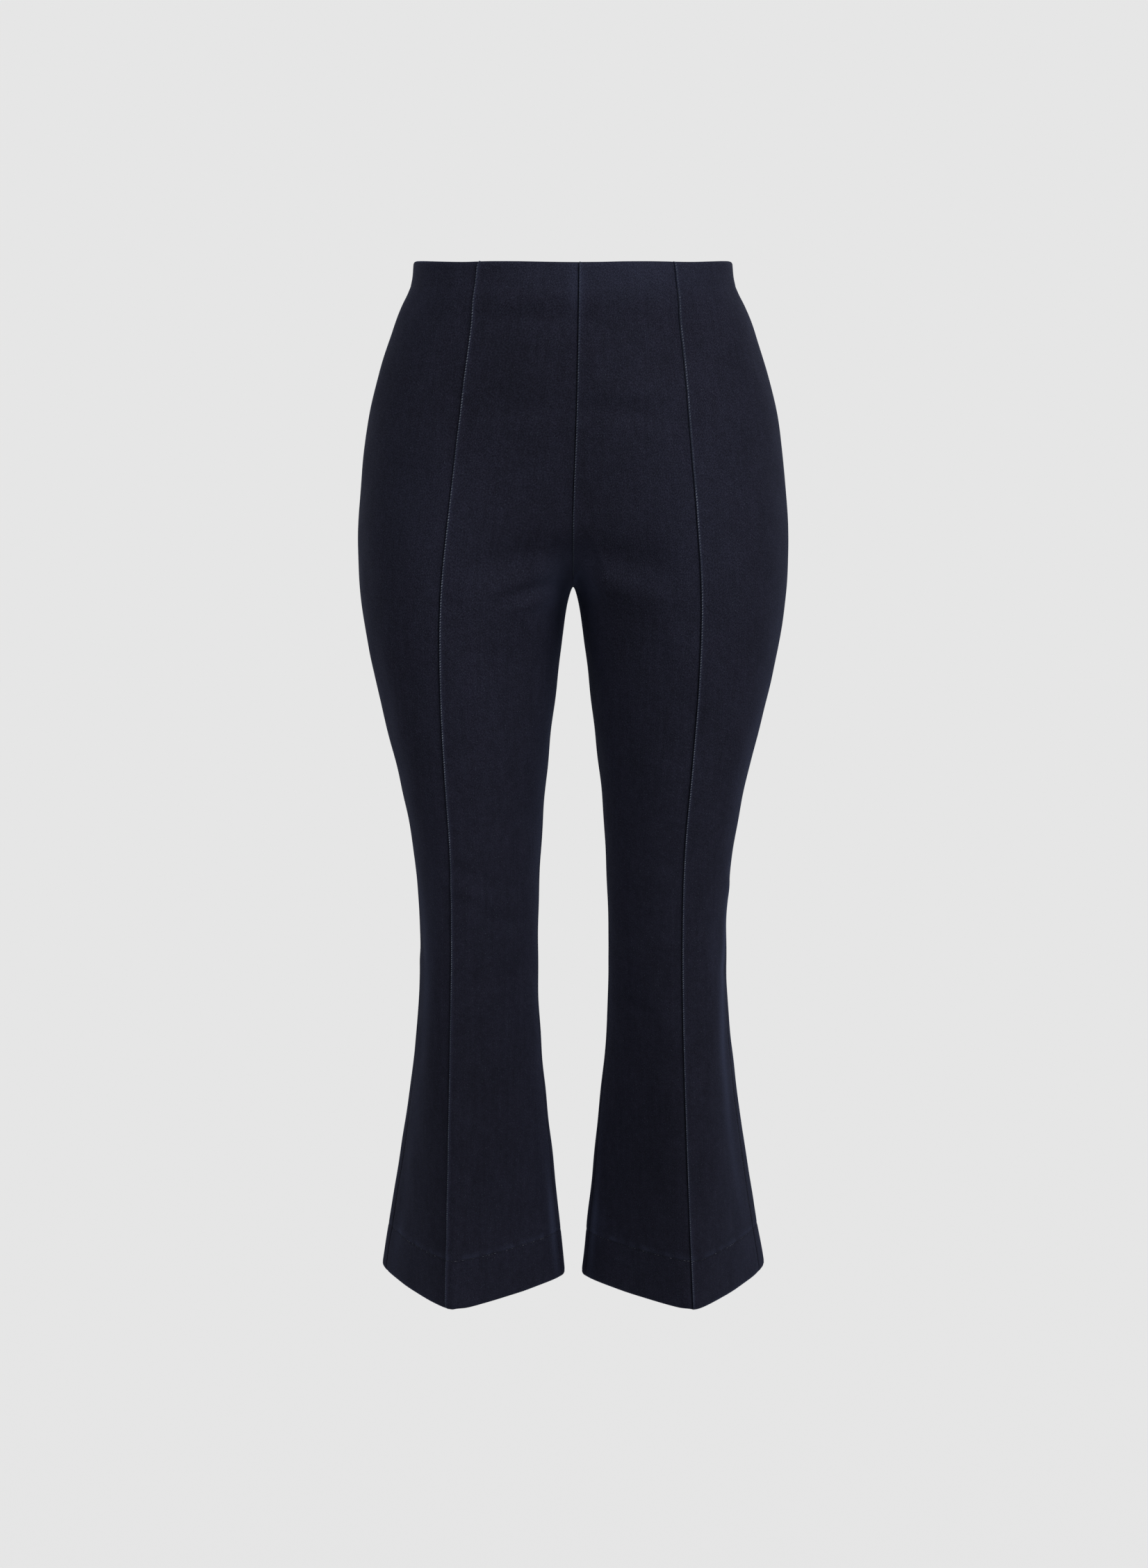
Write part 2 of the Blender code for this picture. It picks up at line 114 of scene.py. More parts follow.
FRONT_LINE = (
    ("down", "out", "front", "turn", "round"),
    (0.000, 0.0787, 0.0745, 28.0, 0.35),
    (0.050, 0.0835, 0.0820, 24.0, 0.35),
    (0.100, 0.0890, 0.0890, 20.0, 0.35),
    (0.150, 0.0940, 0.0950, 15.0, 0.35),
    (0.205, 0.0995, 0.0985, 9.0, 0.35),
    (0.270, 0.1050, 0.0990, 2.0, 0.36),
    (0.340, 0.1050, 0.0945, 0.0, 0.37),
    (0.410, 0.1015, 0.0870, 0.0, 0.37),
    (0.480, 0.0970, 0.0775, 0.0, 0.36),
    (0.570, 0.0960, 0.0690, 0.0, 0.35),
    (0.640, 0.0968, 0.0710, 0.0, 0.29),
    (0.720, 0.0979, 0.0800, 0.0, 0.22),
    (0.790, 0.0987, 0.0895, 0.0, 0.16),
    (0.864, 0.0996, 0.1000, 0.0, 0.12),
)
INSIDE_LINE = (
    ("down", "out", "back", "round"),
    (0.320, 0.0102, 0.004, 0.37),
    (0.380, 0.0172, 0.001, 0.37),
    (0.440, 0.0240, -0.002, 0.37),
    (0.500, 0.0284, -0.004, 0.37),
    (0.570, 0.0305, -0.005, 0.36),
    (0.640, 0.0288, -0.004, 0.31),
    (0.700, 0.0236, -0.004, 0.26),
    (0.770, 0.0165, -0.003, 0.20),
    (0.864, 0.0068, -0.002, 0.12),
)
BACK_LINE = (
    ("down", "out", "back", "turn", "round"),
    (0.000, 0.0740, 0.0760, 28.0, 0.35),
    (0.050, 0.0790, 0.0880, 23.0, 0.35),
    (0.100, 0.0830, 0.1025, 17.0, 0.35),
    (0.150, 0.0860, 0.1155, 10.0, 0.35),
    (0.190, 0.0880, 0.1205, 5.0, 0.36),
    (0.230, 0.0890, 0.1185, 2.0, 0.37),
    (0.280, 0.0900, 0.1100, 0.0, 0.37),
    (0.340, 0.0910, 0.0965, 0.0, 0.37),
    (0.420, 0.0900, 0.0830, 0.0, 0.37),
    (0.500, 0.0860, 0.0690, 0.0, 0.37),
    (0.570, 0.0830, 0.0600, 0.0, 0.37),
    (0.640, 0.0830, 0.0640, 0.0, 0.36),
    (0.720, 0.0850, 0.0790, 0.0, 0.35),
    (0.790, 0.0880, 0.0930, 0.0, 0.33),
    (0.864, 0.0910, 0.1080, 0.0, 0.31),
)
CENTRE_LINE = (
    ("down", "front", "back"),
    (0.000, 0.0930, 0.0920),
    (0.050, 0.0990, 0.1005),
    (0.100, 0.1022, 0.1090),
    (0.150, 0.1005, 0.1105),
    (0.205, 0.0925, 0.1015),
)
DRIFT_LINE = (  # how far the front seams stray, towards +X
    ("down", "centre", "legs"),
    (0.000, 0.0050, 0.0028),
    (0.070, 0.0040, 0.0021),
    (0.135, 0.0025, 0.0008),
    (0.205, 0.0000, -0.0004),
    (0.300, 0.0000, -0.0022),
    (0.400, 0.0000, -0.0040),
    (0.600, 0.0000, -0.0054),
    (0.864, 0.0000, -0.0039),
)
SEAM_LINE = (  # how far the seams lie from the guide lines
    ("down", "outside", "inside", "front"),
    (0.000, 0.001, 0.001, 0.0),
    (0.200, 0.001, 0.001, 0.0),
    (0.340, 0.004, 0.003, 0.0),
    (0.450, 0.009, 0.006, 0.0),
    (0.570, 0.015, 0.007, 0.0),
    (0.720, 0.018, 0.008, 0.0014),
    (0.790, 0.017, 0.009, 0.0026),
    (0.864, 0.016, 0.009, 0.0042),
)

# The net: coarse cells as in the solids, and the places in each cell that are read here
PINCH = (0.0, 0.0006, 0.0016, 0.0024)  # columns across a front seam's pinched edge
FORK_CELLS = 7  # cells across each stretch of columns
FRONT_CELLS = 6
SIDE_CELLS = 7
HIP_CELLS = 7
SEAT_CELLS = 5
FORK_PARTS = 3  # fine columns to a cell
PLAIN_PARTS = 5
HIP_PARTS = 6
PINCH_PARTS = (2, 3, 2)  # and to the narrow cells of a pinched edge
FORK_SHARE = 0.45  # share of the inner leg that the fork's columns take
SAMPLES = 48  # points read along a bow
NUDGE = 0.002  # height over which the direction of a column is measured
SPOT_STEP = 0.0004  # from point to point where the distance to a line is measured
CORNER_FADE = 2  # how soon the spread fades away from the ends of the crotch curve
PINCH_FADE = 3  # how late the columns leave the centre seam's pinched edge
DRIFT_FRONT = 0.07  # the centre front strays in full this far in front of the middle
DRIFT_REACH = 0.08  # and no more this far to the side
DRIFT_READS = 60  # heights at which its way is read
ROW_STEP = 0.003  # height of a row of the fine net
EDGE_STEPS = (0.0, 0.0003, 0.0009, 0.0018)  # rows beside the waist and hem edges
FOLD_HALF = 0.0005  # half the height over which the wall changes at a fold
FOLD_STEPS = (-0.0022, -0.0012, -FOLD_HALF, 0.0, FOLD_HALF, 0.0012, 0.0022)  # beside stitching
CROTCH_STEPS = (0.004, 0.010, 0.018, 0.028)  # shares of the fork just under its curve
CROTCH_ROWS = 2  # in place of this many plain rows
CLOSE_SHARE = 0.5  # share of the fork over which the columns spread from the centre seam
BESIDE_SEAM = (0.0, 0.02, 0.05, 0.10, 0.18, 0.32, 0.52, 0.76)  # shares of the cell at a seam

# Relief of the sewing: distances from the seam or the stitching, and how strong it is there
RIDGE = ((0.0, 0.0004, 0.0009, 0.0014, 0.0019, 0.0025, 0.0034),
         (0.84, 1.0, 0.92, 0.62, 0.30, 0.09, 0.0))
# GROOVE also shapes the shade painted along a plain seam
GROOVE = ((0.0, 0.0004, 0.0010, 0.0020, 0.0036), (1.0, 0.66, 0.30, 0.09, 0.0))
STITCHING = ((0.0, 0.0006, 0.0014, 0.0030, 0.0060), (1.0, 0.78, 0.30, 0.05, 0.0))
INSIDE_SEAMS = (("front_centre", "start"), ("back", "end"))
INSIDE_DARK = 0.25  # how much of the painted groove shade the inside leg seams get, against the other plain seams
HEM_PUCKERS = (0.0127, 0.0211, 0.0353)  # lengths of the waves along the hem's stitching
PUCKER_SHIFT = 1.7  # from wave to wave, in radians
PUCKER_LEAST = 0.45  # the least that the stitching pulls
EDGE_KEEP = 0.92  # how much of the wall's half the fold at an edge rounds away
EDGE_ROLLS = ((0.0035, 0.0022), (0.0055, 0.0034))  # waist, hem: how high, how far inwards
HEM_DROP = 0.0021  # how far the rolled hem hangs lower than its solid
HEM_REACH = 0.050  # and over which height it does so
HEM_TIP = (0.0962, 0.0060, 0.0008)  # its tip in front: how far out, half its width, how blunt
RIDGE_END = 0.006  # the front seams' ridge sinks over this height at the waist and hem
RIDGE_LEAST = 0.3  # to this share of its own

# Wear, painted light and painted shade of the cloth as the material reads them: 1 is a rubbed
# edge, full painted light, or a dark edge in full painted shade
RIDGE_WEAR = 0.85  # along the top of a pinched edge
EDGE_WEAR = (0.55, 0.0016)  # at the waist and hem edges: how strong, how far in
STITCH_WEAR = 0.16  # along the hem's stitching
SEAM_WEAR = (0.14, 0.0013, 0.0007)  # beside a plain seam: how strong, how far off, half width
FOLD_WEAR = (1.3, -0.0017, 0.0012)  # the hem's inner edge, just above its stitching
FOLD_PULL = 1.5  # the stitching's pull is raised to this there, which breaks the mark up
STITCH_SHADE = (0.35, 0.0, 0.0008)  # and the shade painted along the hem's stitching
INNER_WEAR = 0.2  # how much of the wear and painted light shows on the inside

# How far off the outside seams the rubbed stripes lie, and how rubbed each seam is. The outside
# stripes are wear with painted sheen; the thigh columns paint light on the shaded inner thighs
RUBS_AND_LIGHT = (
    ("down", "off_left", "off_right", "outside_left", "outside_right", "inside_left",
     "inside_right", "thigh_light_left", "thigh_light_right"),
    (0.000, 0.0060, 0.0060, 0.06, 0.06, 0.00, 0.00, 0.00, 0.00),
    (0.260, 0.0060, 0.0060, 0.08, 0.08, 0.00, 0.00, 0.60, 1.90),
    (0.340, 0.0070, 0.0070, 0.08, 0.10, 0.06, 0.06, 0.40, 1.60),
    (0.400, 0.0078, 0.0080, 0.08, 0.12, 0.08, 0.08, 0.06, 1.10),
    (0.470, 0.0085, 0.0110, 0.26, 0.16, 0.10, 0.10, 0.00, 0.80),
    (0.520, 0.0090, 0.0230, 0.80, 0.46, 0.12, 0.12, 0.00, 0.50),
    (0.560, 0.0092, 0.0260, 1.70, 0.80, 0.12, 0.12, 0.00, 0.24),
    (0.600, 0.0150, 0.0270, 1.80, 0.78, 0.12, 0.12, 0.00, 0.20),
    (0.640, 0.0190, 0.0250, 1.60, 0.44, 0.12, 0.12, 0.00, 0.24),
    (0.680, 0.0220, 0.0235, 1.30, 0.30, 0.12, 0.12, 0.00, 0.22),
    (0.720, 0.0240, 0.0245, 0.90, 0.26, 0.20, 0.14, 0.00, 0.18),
    (0.760, 0.0230, 0.0230, 0.60, 0.18, 0.34, 0.22, 0.00, 0.18),
    (0.800, 0.0200, 0.0200, 0.26, 0.14, 1.50, 1.35, 0.00, 0.18),
    (0.822, 0.0190, 0.0190, 0.12, 0.56, 1.60, 1.50, 0.00, 0.12),
    (0.864, 0.0170, 0.0170, 0.08, 0.26, 0.40, 0.44, 0.00, 0.00),
)
RUBBED_AND_LIT_SEAMS = (  # piece, seam, how far off the seam (or the column), half the width, column; thigh rows paint light
    ("front_side_left", "end", "off_left", 0.0078, "outside_left"),
    ("front_side_right", "end", "off_right", 0.0105, "outside_right"),
    ("front_centre_left", "start", 0.0070, 0.0042, "inside_left"),
    ("front_centre_right", "start", 0.0070, 0.0042, "inside_right"),
    ("front_centre_left", "start", 0.0, 0.0120, "thigh_light_left"),
    ("front_centre_right", "start", 0.0, 0.0230, "thigh_light_right"),
    ("back_left", "end", 0.0, 0.0120, "thigh_light_left"),
    ("back_right", "end", 0.0, 0.0230, "thigh_light_right"),
)

# Patches of painted light (paler) and painted shade (below 0, darker), where the light falls on
# the form or misses it; the two small pale marks by the inside seams just above the hem are
# worn streaks. Each has its side, how far to the right and down, half the width, half the
# height, strength
PATCHES = (
    ("front", 0.055, 0.011, 0.070, 0.024, 0.50),
    ("front", -0.020, 0.008, 0.040, 0.020, 0.12),
    ("front", -0.002, 0.026, 0.006, 0.028, 0.60),
    ("right", 0.020, 0.040, 0.050, 0.055, 0.24),
    ("front", 0.096, 0.205, 0.040, 0.090, 0.16),
    ("front", -0.125, 0.195, 0.032, 0.055, 0.18),
    ("front", -0.052, 0.104, 0.058, 0.050, -0.26),
    ("front", 0.006, 0.190, 0.040, 0.050, -0.14),
    ("front", -0.086, 0.690, 0.042, 0.120, -0.32),
    ("front", 0.078, 0.730, 0.044, 0.130, -0.36),
    ("front", -0.034, 0.226, 0.030, 0.014, -0.10),
    ("front", 0.002, 0.238, 0.018, 0.020, 0.30),
    ("front", 0.0195, 0.811, 0.0075, 0.014, 0.85),
    ("front", -0.014, 0.806, 0.0055, 0.018, 1.00),
    ("front", 0.034, 0.285, 0.026, 0.022, -0.22),
    ("under", -0.005, 0.268, 0.022, 0.024, 1.00),
    ("front", -0.1165, 0.545, 0.009, 0.085, 0.34),
    ("front", 0.118, 0.560, 0.007, 0.030, 0.34),
    ("back", 0.045, 0.014, 0.080, 0.026, 0.20),
    ("back", -0.055, 0.012, 0.070, 0.024, 0.22),
    ("back", 0.080, 0.190, 0.050, 0.070, 0.16),
    ("back", -0.082, 0.184, 0.048, 0.070, 0.14),
    ("back", 0.085, 0.700, 0.050, 0.120, -0.15),
    ("back", -0.080, 0.690, 0.050, 0.120, -0.17),
)
CENTRE_FADE = (  # how strong the centre seam's relief is
    ("down", "ridge", "groove"),
    (0.000, 1.00, 1.00),
    (0.060, 0.80, 1.00),
    (0.140, 0.55, 0.85),
    (0.205, 0.42, 0.70),
    (0.245, 0.26, 0.45),
    (0.262, 0.08, 0.20),
    (0.270, 0.00, 0.08),
)

# Creases, as seen from outside: which side of the garment, how far to the right and down,
# half the length, half the width, how high (or deep) and how many degrees the right end drops.
CREASES = (
    ("front", -0.046, 0.034, 0.080, 0.0110, 0.0015, -1.0),
    ("front", 0.056, 0.032, 0.072, 0.0125, 0.0015, 2.0),
    ("front", -0.034, 0.050, 0.052, 0.0045, -0.0010, 1.0),
    ("front", 0.042, 0.106, 0.058, 0.0120, 0.0016, 3.0),
    ("front", 0.034, 0.122, 0.052, 0.0070, -0.0013, 4.0),
    ("front", -0.052, 0.122, 0.044, 0.0090, -0.0010, -5.0),
    ("front", -0.038, 0.2405, 0.054, 0.0130, -0.0034, -8.0),
    ("front", -0.027, 0.2655, 0.046, 0.0056, -0.0036, -14.0),
    ("front", -0.050, 0.300, 0.046, 0.0120, 0.0006, -14.0),
    ("front", 0.044, 0.2425, 0.060, 0.0132, -0.0029, 7.0),
    ("front", 0.034, 0.2620, 0.044, 0.0100, 0.0021, 20.0),
    ("front", -0.085, 0.503, 0.034, 0.0070, -0.0010, 25.0),
    ("front", -0.080, 0.520, 0.030, 0.0065, 0.0007, 22.0),
    ("front", -0.055, 0.545, 0.026, 0.0070, -0.0009, 12.0),
    ("front", 0.043, 0.614, 0.026, 0.0055, -0.0010, 24.0),
    ("front", 0.092, 0.560, 0.036, 0.0090, 0.0009, -10.0),
    ("front", -0.064, 0.592, 0.032, 0.0080, -0.0008, -14.0),
    ("front", 0.066, 0.492, 0.034, 0.0090, -0.0009, 12.0),
    ("front", -0.086, 0.330, 0.060, 0.0180, 0.0012, 72.0),
    ("front", 0.112, 0.380, 0.050, 0.0150, -0.0012, -66.0),
    ("front", 0.070, 0.400, 0.070, 0.0200, 0.0010, -80.0),
    ("back", 0.062, 0.268, 0.058, 0.0090, -0.0018, 12.0),
    ("back", -0.066, 0.272, 0.054, 0.0090, -0.0017, -14.0),
    ("back", 0.082, 0.297, 0.050, 0.0080, -0.0012, 18.0),
    ("back", -0.078, 0.303, 0.046, 0.0080, -0.0013, -20.0),
    ("back", 0.030, 0.240, 0.034, 0.0075, -0.0010, 34.0),
    ("back", -0.032, 0.246, 0.036, 0.0075, -0.0011, -36.0),
    ("back", 0.082, 0.540, 0.046, 0.0085, -0.0016, 8.0),
    ("back", -0.086, 0.548, 0.044, 0.0085, -0.0015, -6.0),
    ("back", 0.078, 0.572, 0.038, 0.0075, -0.0012, -11.0),
    ("back", -0.080, 0.586, 0.040, 0.0080, -0.0013, 9.0),
    ("back", 0.088, 0.506, 0.036, 0.0080, -0.0010, 17.0),
    ("back", -0.074, 0.512, 0.034, 0.0080, -0.0011, -19.0),
    ("back", 0.052, 0.060, 0.050, 0.0080, -0.0007, 5.0),
    ("back", -0.046, 0.066, 0.046, 0.0080, -0.0008, -7.0),
    ("left", -0.027, 0.505, 0.019, 0.0080, -0.0008, 24.0),
    ("left", 0.028, 0.548, 0.021, 0.0080, 0.0006, -18.0),
    ("left", -0.028, 0.590, 0.018, 0.0080, -0.0008, 20.0),
    ("left", 0.027, 0.628, 0.020, 0.0080, 0.0007, -12.0),
    ("left", 0.026, 0.572, 0.022, 0.0080, -0.0010, -10.0),
    ("right", -0.027, 0.515, 0.022, 0.0080, -0.0009, -12.0),
    ("right", 0.026, 0.570, 0.020, 0.0080, -0.0009, 9.0),
    ("left", 0.000, 0.520, 0.080, 0.0900, 0.0008, 0.0),
    ("right", 0.000, 0.520, 0.080, 0.0900, 0.0008, 0.0),
)
FACING_GAIN = 1.5  # how soon what is placed from one side fades where the cloth turns away
CREASE_EDGE = 0.12  # how much sooner a crease does so
CREASE_HOLD = 1.25  # from its middle out, a crease sinks once this less its taper is under 1
CREASE_TAPER = 1.1  # for each half length
CREASE_SAG = 0.5  # how far its ends lie off its line, in half widths
ECHO_HEIGHT = 0.45  # the fainter crease below it: how high, against the crease
ECHO_BELOW = 1.9  # and how many half widths below
WAVE_SEED = 7  # the gentle unevenness of worn cloth
WAVE_COUNT = 14
WAVE_SIZES = (0.022, 0.075)
WAVE_WAYS = (1.0, 1.0, 0.6)  # waves run across the cloth more than down it
WAVE_SHIFT = 7  # the most that a wave is moved along, in radians
WAVE_HEIGHT = 0.00022

# Each cut piece: its half, its first and last stretch of columns and its pinched seam
PIECES = {
    "front_centre_left": (1, "fork_front", "front", "centre"),
    "front_side_left": (1, "side", "side", "start"),
    "back_left": (1, "hip", "fork_back", ""),
    "front_centre_right": (-1, "fork_front", "front", "end"),
    "front_side_right": (-1, "side", "side", ""),
    "back_right": (-1, "hip", "fork_back", ""),
}

# The worn, rope-like twill on the pinched edges: how far apart, how wide and how light its
# strands are, by the place along each seam
STRAND_LINE = (
    ("down", "pitch", "width", "left", "right", "centre"),
    (0.000, 0.0023, 0.00080, 0.50, 0.50, 0.62),
    (0.050, 0.0023, 0.00095, 0.66, 0.66, 0.46),
    (0.120, 0.0022, 0.00095, 0.64, 0.66, 0.36),
    (0.200, 0.0022, 0.00095, 0.66, 0.68, 0.26),
    (0.300, 0.0022, 0.00090, 0.56, 0.72, 0.14),
    (0.370, 0.0021, 0.00086, 0.64, 0.76, 0.10),
    (0.460, 0.0020, 0.00082, 0.66, 0.76, 0.10),
    (0.560, 0.0019, 0.00075, 0.64, 0.68, 0.10),
    (0.700, 0.0017, 0.00063, 0.56, 0.50, 0.10),
    (0.864, 0.0016, 0.00056, 0.56, 0.50, 0.10),
)
STRAND_SEED = 31
STRAND_MARGIN = 0.0012  # left bare at both ends of a seam
STRAND_SPACING = (0.92, 1.08)  # the least and the most of a pitch from strand to strand
STRAND_LENGTH = 0.39  # half a strand's length, against its pitch
STRAND_WIDTHS = (0.85, 1.10)  # the least and the most of its width
STRAND_FLAT = 0.8  # its height against its width
STRAND_LIGHTS = (0.45, 1.0)  # the least and the most of its lightness
SWELL_LEAST = 0.25  # how light the strands are where the wear is least
SWELL_START = 0.5  # the wear at the waist, from 0 to 1
SWELL_STEP = 0.16  # and how fast it changes from one strand to the next
STRAND_SIDES = 6  # corners round a strand
# Rings of a strand: how far from its middle, in half lengths, and how wide, in half widths
STRAND_RINGS = ((-1.0, 0.0), (-0.62, 0.74), (0.0, 1.0), (0.62, 0.74), (1.0, 0.0))
RIDGES = (  # each worn edge, the piece whose edge is pinched and its column in STRAND_LINE
    ("worn_edge_front_left", "front_side_left", "left"),
    ("worn_edge_centre", "front_centre_left", "centre"),
    ("worn_edge_front_right", "front_centre_right", "right"),
)
CREST = 2  # the fine column that runs along the top of a pinched edge
CREST_ROW = 1  # and the row that does so below the crotch curve
CENTRE_END = 0.262  # how far down the centre seam's worn edge shows
HEM_STITCHES = (  # the pieces round each hem
    ("hem_stitches_left", ("front_centre_left", "front_side_left", "back_left")),
    ("hem_stitches_right", ("front_centre_right", "front_side_right", "back_right")),
)
SEAM_STITCHES = ("front_side_left", "front_side_right")  # their outside seams show stitches
STITCHED = (0.50, 0.812)  # from how far down to how far down
STITCH_MARGIN = 0.002  # and how much of that is left bare at both ends
STITCH_STEP = 0.0016
STITCH_HALF = (0.00052, 0.00022, 0.00022)  # half the size of such a stitch
STITCH_RISE = 0.00035  # how far it stands above the bottom of the seam
STITCH_LIGHTS = (0.1, 0.5)  # its least lightness, and how much may be added
HEM_ENDS = 0.004  # length of a piece's hem that holds no stitch
HEM_START = 0.0024  # from the piece's side to the middle of its first stitch
HEM_STITCH_LENGTH = 0.38  # half a hem stitch's length, against its pitch
HEM_DARK = 3  # a random share is raised to this, so few of the hem's stitches are light
WAY_REACH = 0.001  # how far on both sides the direction of a line is read
SAME = 1e-5  # points closer than this are one point
TINY = 1e-12  # shorter vectors have no direction
SIDES = (1, -1)  # the left half and the right half
SIDE_NAMES = ("left", "right")
FACINGS = {  # the sides that creases and patches are placed from: the ways out and right
    "front": (Vector((0, -1, 0)), Vector((1, 0, 0))),
    "back": (Vector((0, 1, 0)), Vector((-1, 0, 0))),
    "left": (Vector((1, 0, 0)), Vector((0, 1, 0))),
    "right": (Vector((-1, 0, 0)), Vector((0, -1, 0))),
    "under": (Vector((0.0, -0.34, -0.94)), Vector((1, 0, 0))),
}

# Places of a Mix node's two colours and of its result, since other sockets share their names
MIX_START, MIX_END, MIX_RESULT = 6, 7, 2

# The weave on the flat cloth, as the denim's material makes it
TWILL_LEAN = (0.82, 0.57)  # how a rib leans: share of its spacing across and down the cloth
RIB_STRAY, STRAY_SCALE = 1.3, 420.0  # how far the ribs stray, in ribs, and how often
RIB_DEPTH, RIB_MIDDLE = 0.16, 0.42  # how much of a rib the colour shows, about which middle
RIB_RELIEF = 0.25  # and how much of it the relief shows
SLUB_SCALE, SLUB_STRETCH, SLUB_CONTRAST = 1200.0, 0.6, 2.8  # thick and thin places in the yarn
FLECK_SCALE, FLECK_SMALL = 380.0, 7.0  # how many cells to the metre, how small their flecks
FLECK_CHANCE = (4.0, -2.8)  # a cell's random share, times the first plus the second, if above 0
CLOUD_SCALE, CLOUD_CONTRAST = 30.0, 0.50  # the dye's soft clouds
CLOUD_DETAIL, CLOUD_ROUGHNESS = 4.0, 0.6
SPOT_SCALE, SPOT_CONTRAST = 190.0, 0.60  # its spots
STREAK_SCALE, STREAK_CONTRAST = 300.0, 0.30  # and its streaks down the cloth
STREAK_STRETCH = (1.0, 0.06, 1.0)
CRISP_HEIGHTS = (-0.50, -0.25)  # between these the weave changes from the legs' to the hips'
RUB_SHARE = (0.42, 0.27)  # how much of the wear and painted light shows: on a rib, and everywhere
PAINTED_SHADE_SHARE = 0.75  # how much darker the painted shade makes the cloth, at its strongest
DENIM_RELIEF = (0.5, 0.00025)  # strength and height of the bumps
SHEEN_ROUGHNESS = 0.36
SHEEN_TINT = (0.38, 0.50, 1.0, 1.0)
FIBRE_SCALE = 2600.0  # the yarn's fibres
FIBRE_SHARE = (0.9, 0.55)  # how light they are: their noise times the first, plus the second
YARN_RELIEF = (0.4, 0.0001)
YARN_FINISH = {"Roughness": 0.8, "Specular IOR Level": 0.15}

# The studio: each soft light's name, the setting with its power, its place and its size
LAMPS = (
    ("key_light", "key", (2.1, -1.8, 1.7), 1.6),
    ("fill_light", "fill", (-2.4, -1.9, 0.9), 1.8),
    ("low_light", "low", (0.9, -2.8, -1.5), 1.2),
    ("back_light_left", "back", (1.5, 2.4, 0.6), 1.8),
    ("back_light_right", "back", (-1.5, 2.4, 0.2), 1.8),
)
FLOOR = "floor"
FLOOR_CORNERS = 128  # round its edge
SENSOR_WIDTH = 36.0  # in mm
FARTHEST = 60.0  # how far the camera sees

made = {}  # the skin and the pieces' points, kept while the script runs


class JeansCloth(bpy.types.PropertyGroup):
    """Thickness of the cloth, its folded edges and the relief of its seams."""

    wall: bpy.props.FloatProperty(
        name="Cloth", description="Thickness of one layer of denim", default=0.0012,
        unit="LENGTH")
    waist_wall: bpy.props.FloatProperty(
        name="Waist", description="Cloth turned in over the elastic", default=0.0030,
        unit="LENGTH")
    waist_fold: bpy.props.FloatProperty(
        name="Waist fold", description="Depth of the turned-in waist", default=0.021,
        unit="LENGTH")
    hem_wall: bpy.props.FloatProperty(
        name="Hem", description="Cloth turned up at the hem", default=0.0024, unit="LENGTH")
    hem_fold: bpy.props.FloatProperty(
        name="Hem fold", description="Depth of the turned-up hem", default=0.039,
        unit="LENGTH")
    seam_gap: bpy.props.FloatProperty(
        name="Seam gap", description="Space between two pieces at a seam", default=0.00002,
        unit="LENGTH")
    ridge: bpy.props.FloatProperty(
        name="Ridge", description="How far a front seam's pinched edge stands up",
        default=0.0012, unit="LENGTH")
    groove: bpy.props.FloatProperty(
        name="Groove", description="How far the cloth sinks at a plain seam", default=0.0007,
        unit="LENGTH")
    hem_pucker: bpy.props.FloatProperty(
        name="Hem pucker", description="How far the stitching pulls the hem in",
        default=0.0004, unit="LENGTH")
    waist_line: bpy.props.FloatProperty(
        name="Waist line", description="How far the cloth sinks below the elastic",
        default=0.0002, unit="LENGTH")
    creases: bpy.props.FloatProperty(
        name="Creases", description="Height of the creases, as a share of the full one",
        default=1.0, min=0.0, max=2.0, subtype="FACTOR")


class JeansDenim(bpy.types.PropertyGroup):
    """Colours and finish of the denim."""

    indigo: bpy.props.FloatVectorProperty(
        name="Indigo", description="The dyed warp yarn", default=(0.0108, 0.0109, 0.0213),
        size=3, subtype="COLOR")
    weft: bpy.props.FloatVectorProperty(
        name="Weft", description="The lighter yarn that shows between the ribs",
        default=(0.0272, 0.0284, 0.0482), size=3, subtype="COLOR")
    fleck: bpy.props.FloatVectorProperty(
        name="Flecks", description="Small light specks in the yarn",
        default=(0.066, 0.082, 0.110), size=3, subtype="COLOR")
    # the colour that both wear and painted light mix towards
    worn: bpy.props.FloatVectorProperty(
        name="Worn edge", description="Cloth that is rubbed at an edge",
        default=(0.0446, 0.0518, 0.0940), size=3, subtype="COLOR")
    wrong_side: bpy.props.FloatVectorProperty(
        name="Inside", description="The undyed side of the cloth",
        default=(0.085, 0.094, 0.122), size=3, subtype="COLOR")
    roughness: bpy.props.FloatProperty(
        name="Roughness", description="How dull the cloth is", default=0.86, min=0.0, max=1.0,
        subtype="FACTOR")
    gloss: bpy.props.FloatProperty(
        name="Gloss", description="Strength of the plain reflection", default=0.10, min=0.0,
        max=1.0, subtype="FACTOR")
    sheen: bpy.props.FloatProperty(
        name="Sheen", description="Light caught by the fibres at a low angle", default=0.120,
        min=0.0, max=1.0, subtype="FACTOR")
    crisp_low: bpy.props.FloatProperty(
        name="Lower grain", description="How crisp the weave is on the legs, against the hips",
        default=0.5, min=0.0, max=1.0, subtype="FACTOR")
    rib: bpy.props.FloatProperty(
        name="Twill rib", description="Distance from one rib of the twill to the next",
        default=0.0010, unit="LENGTH")


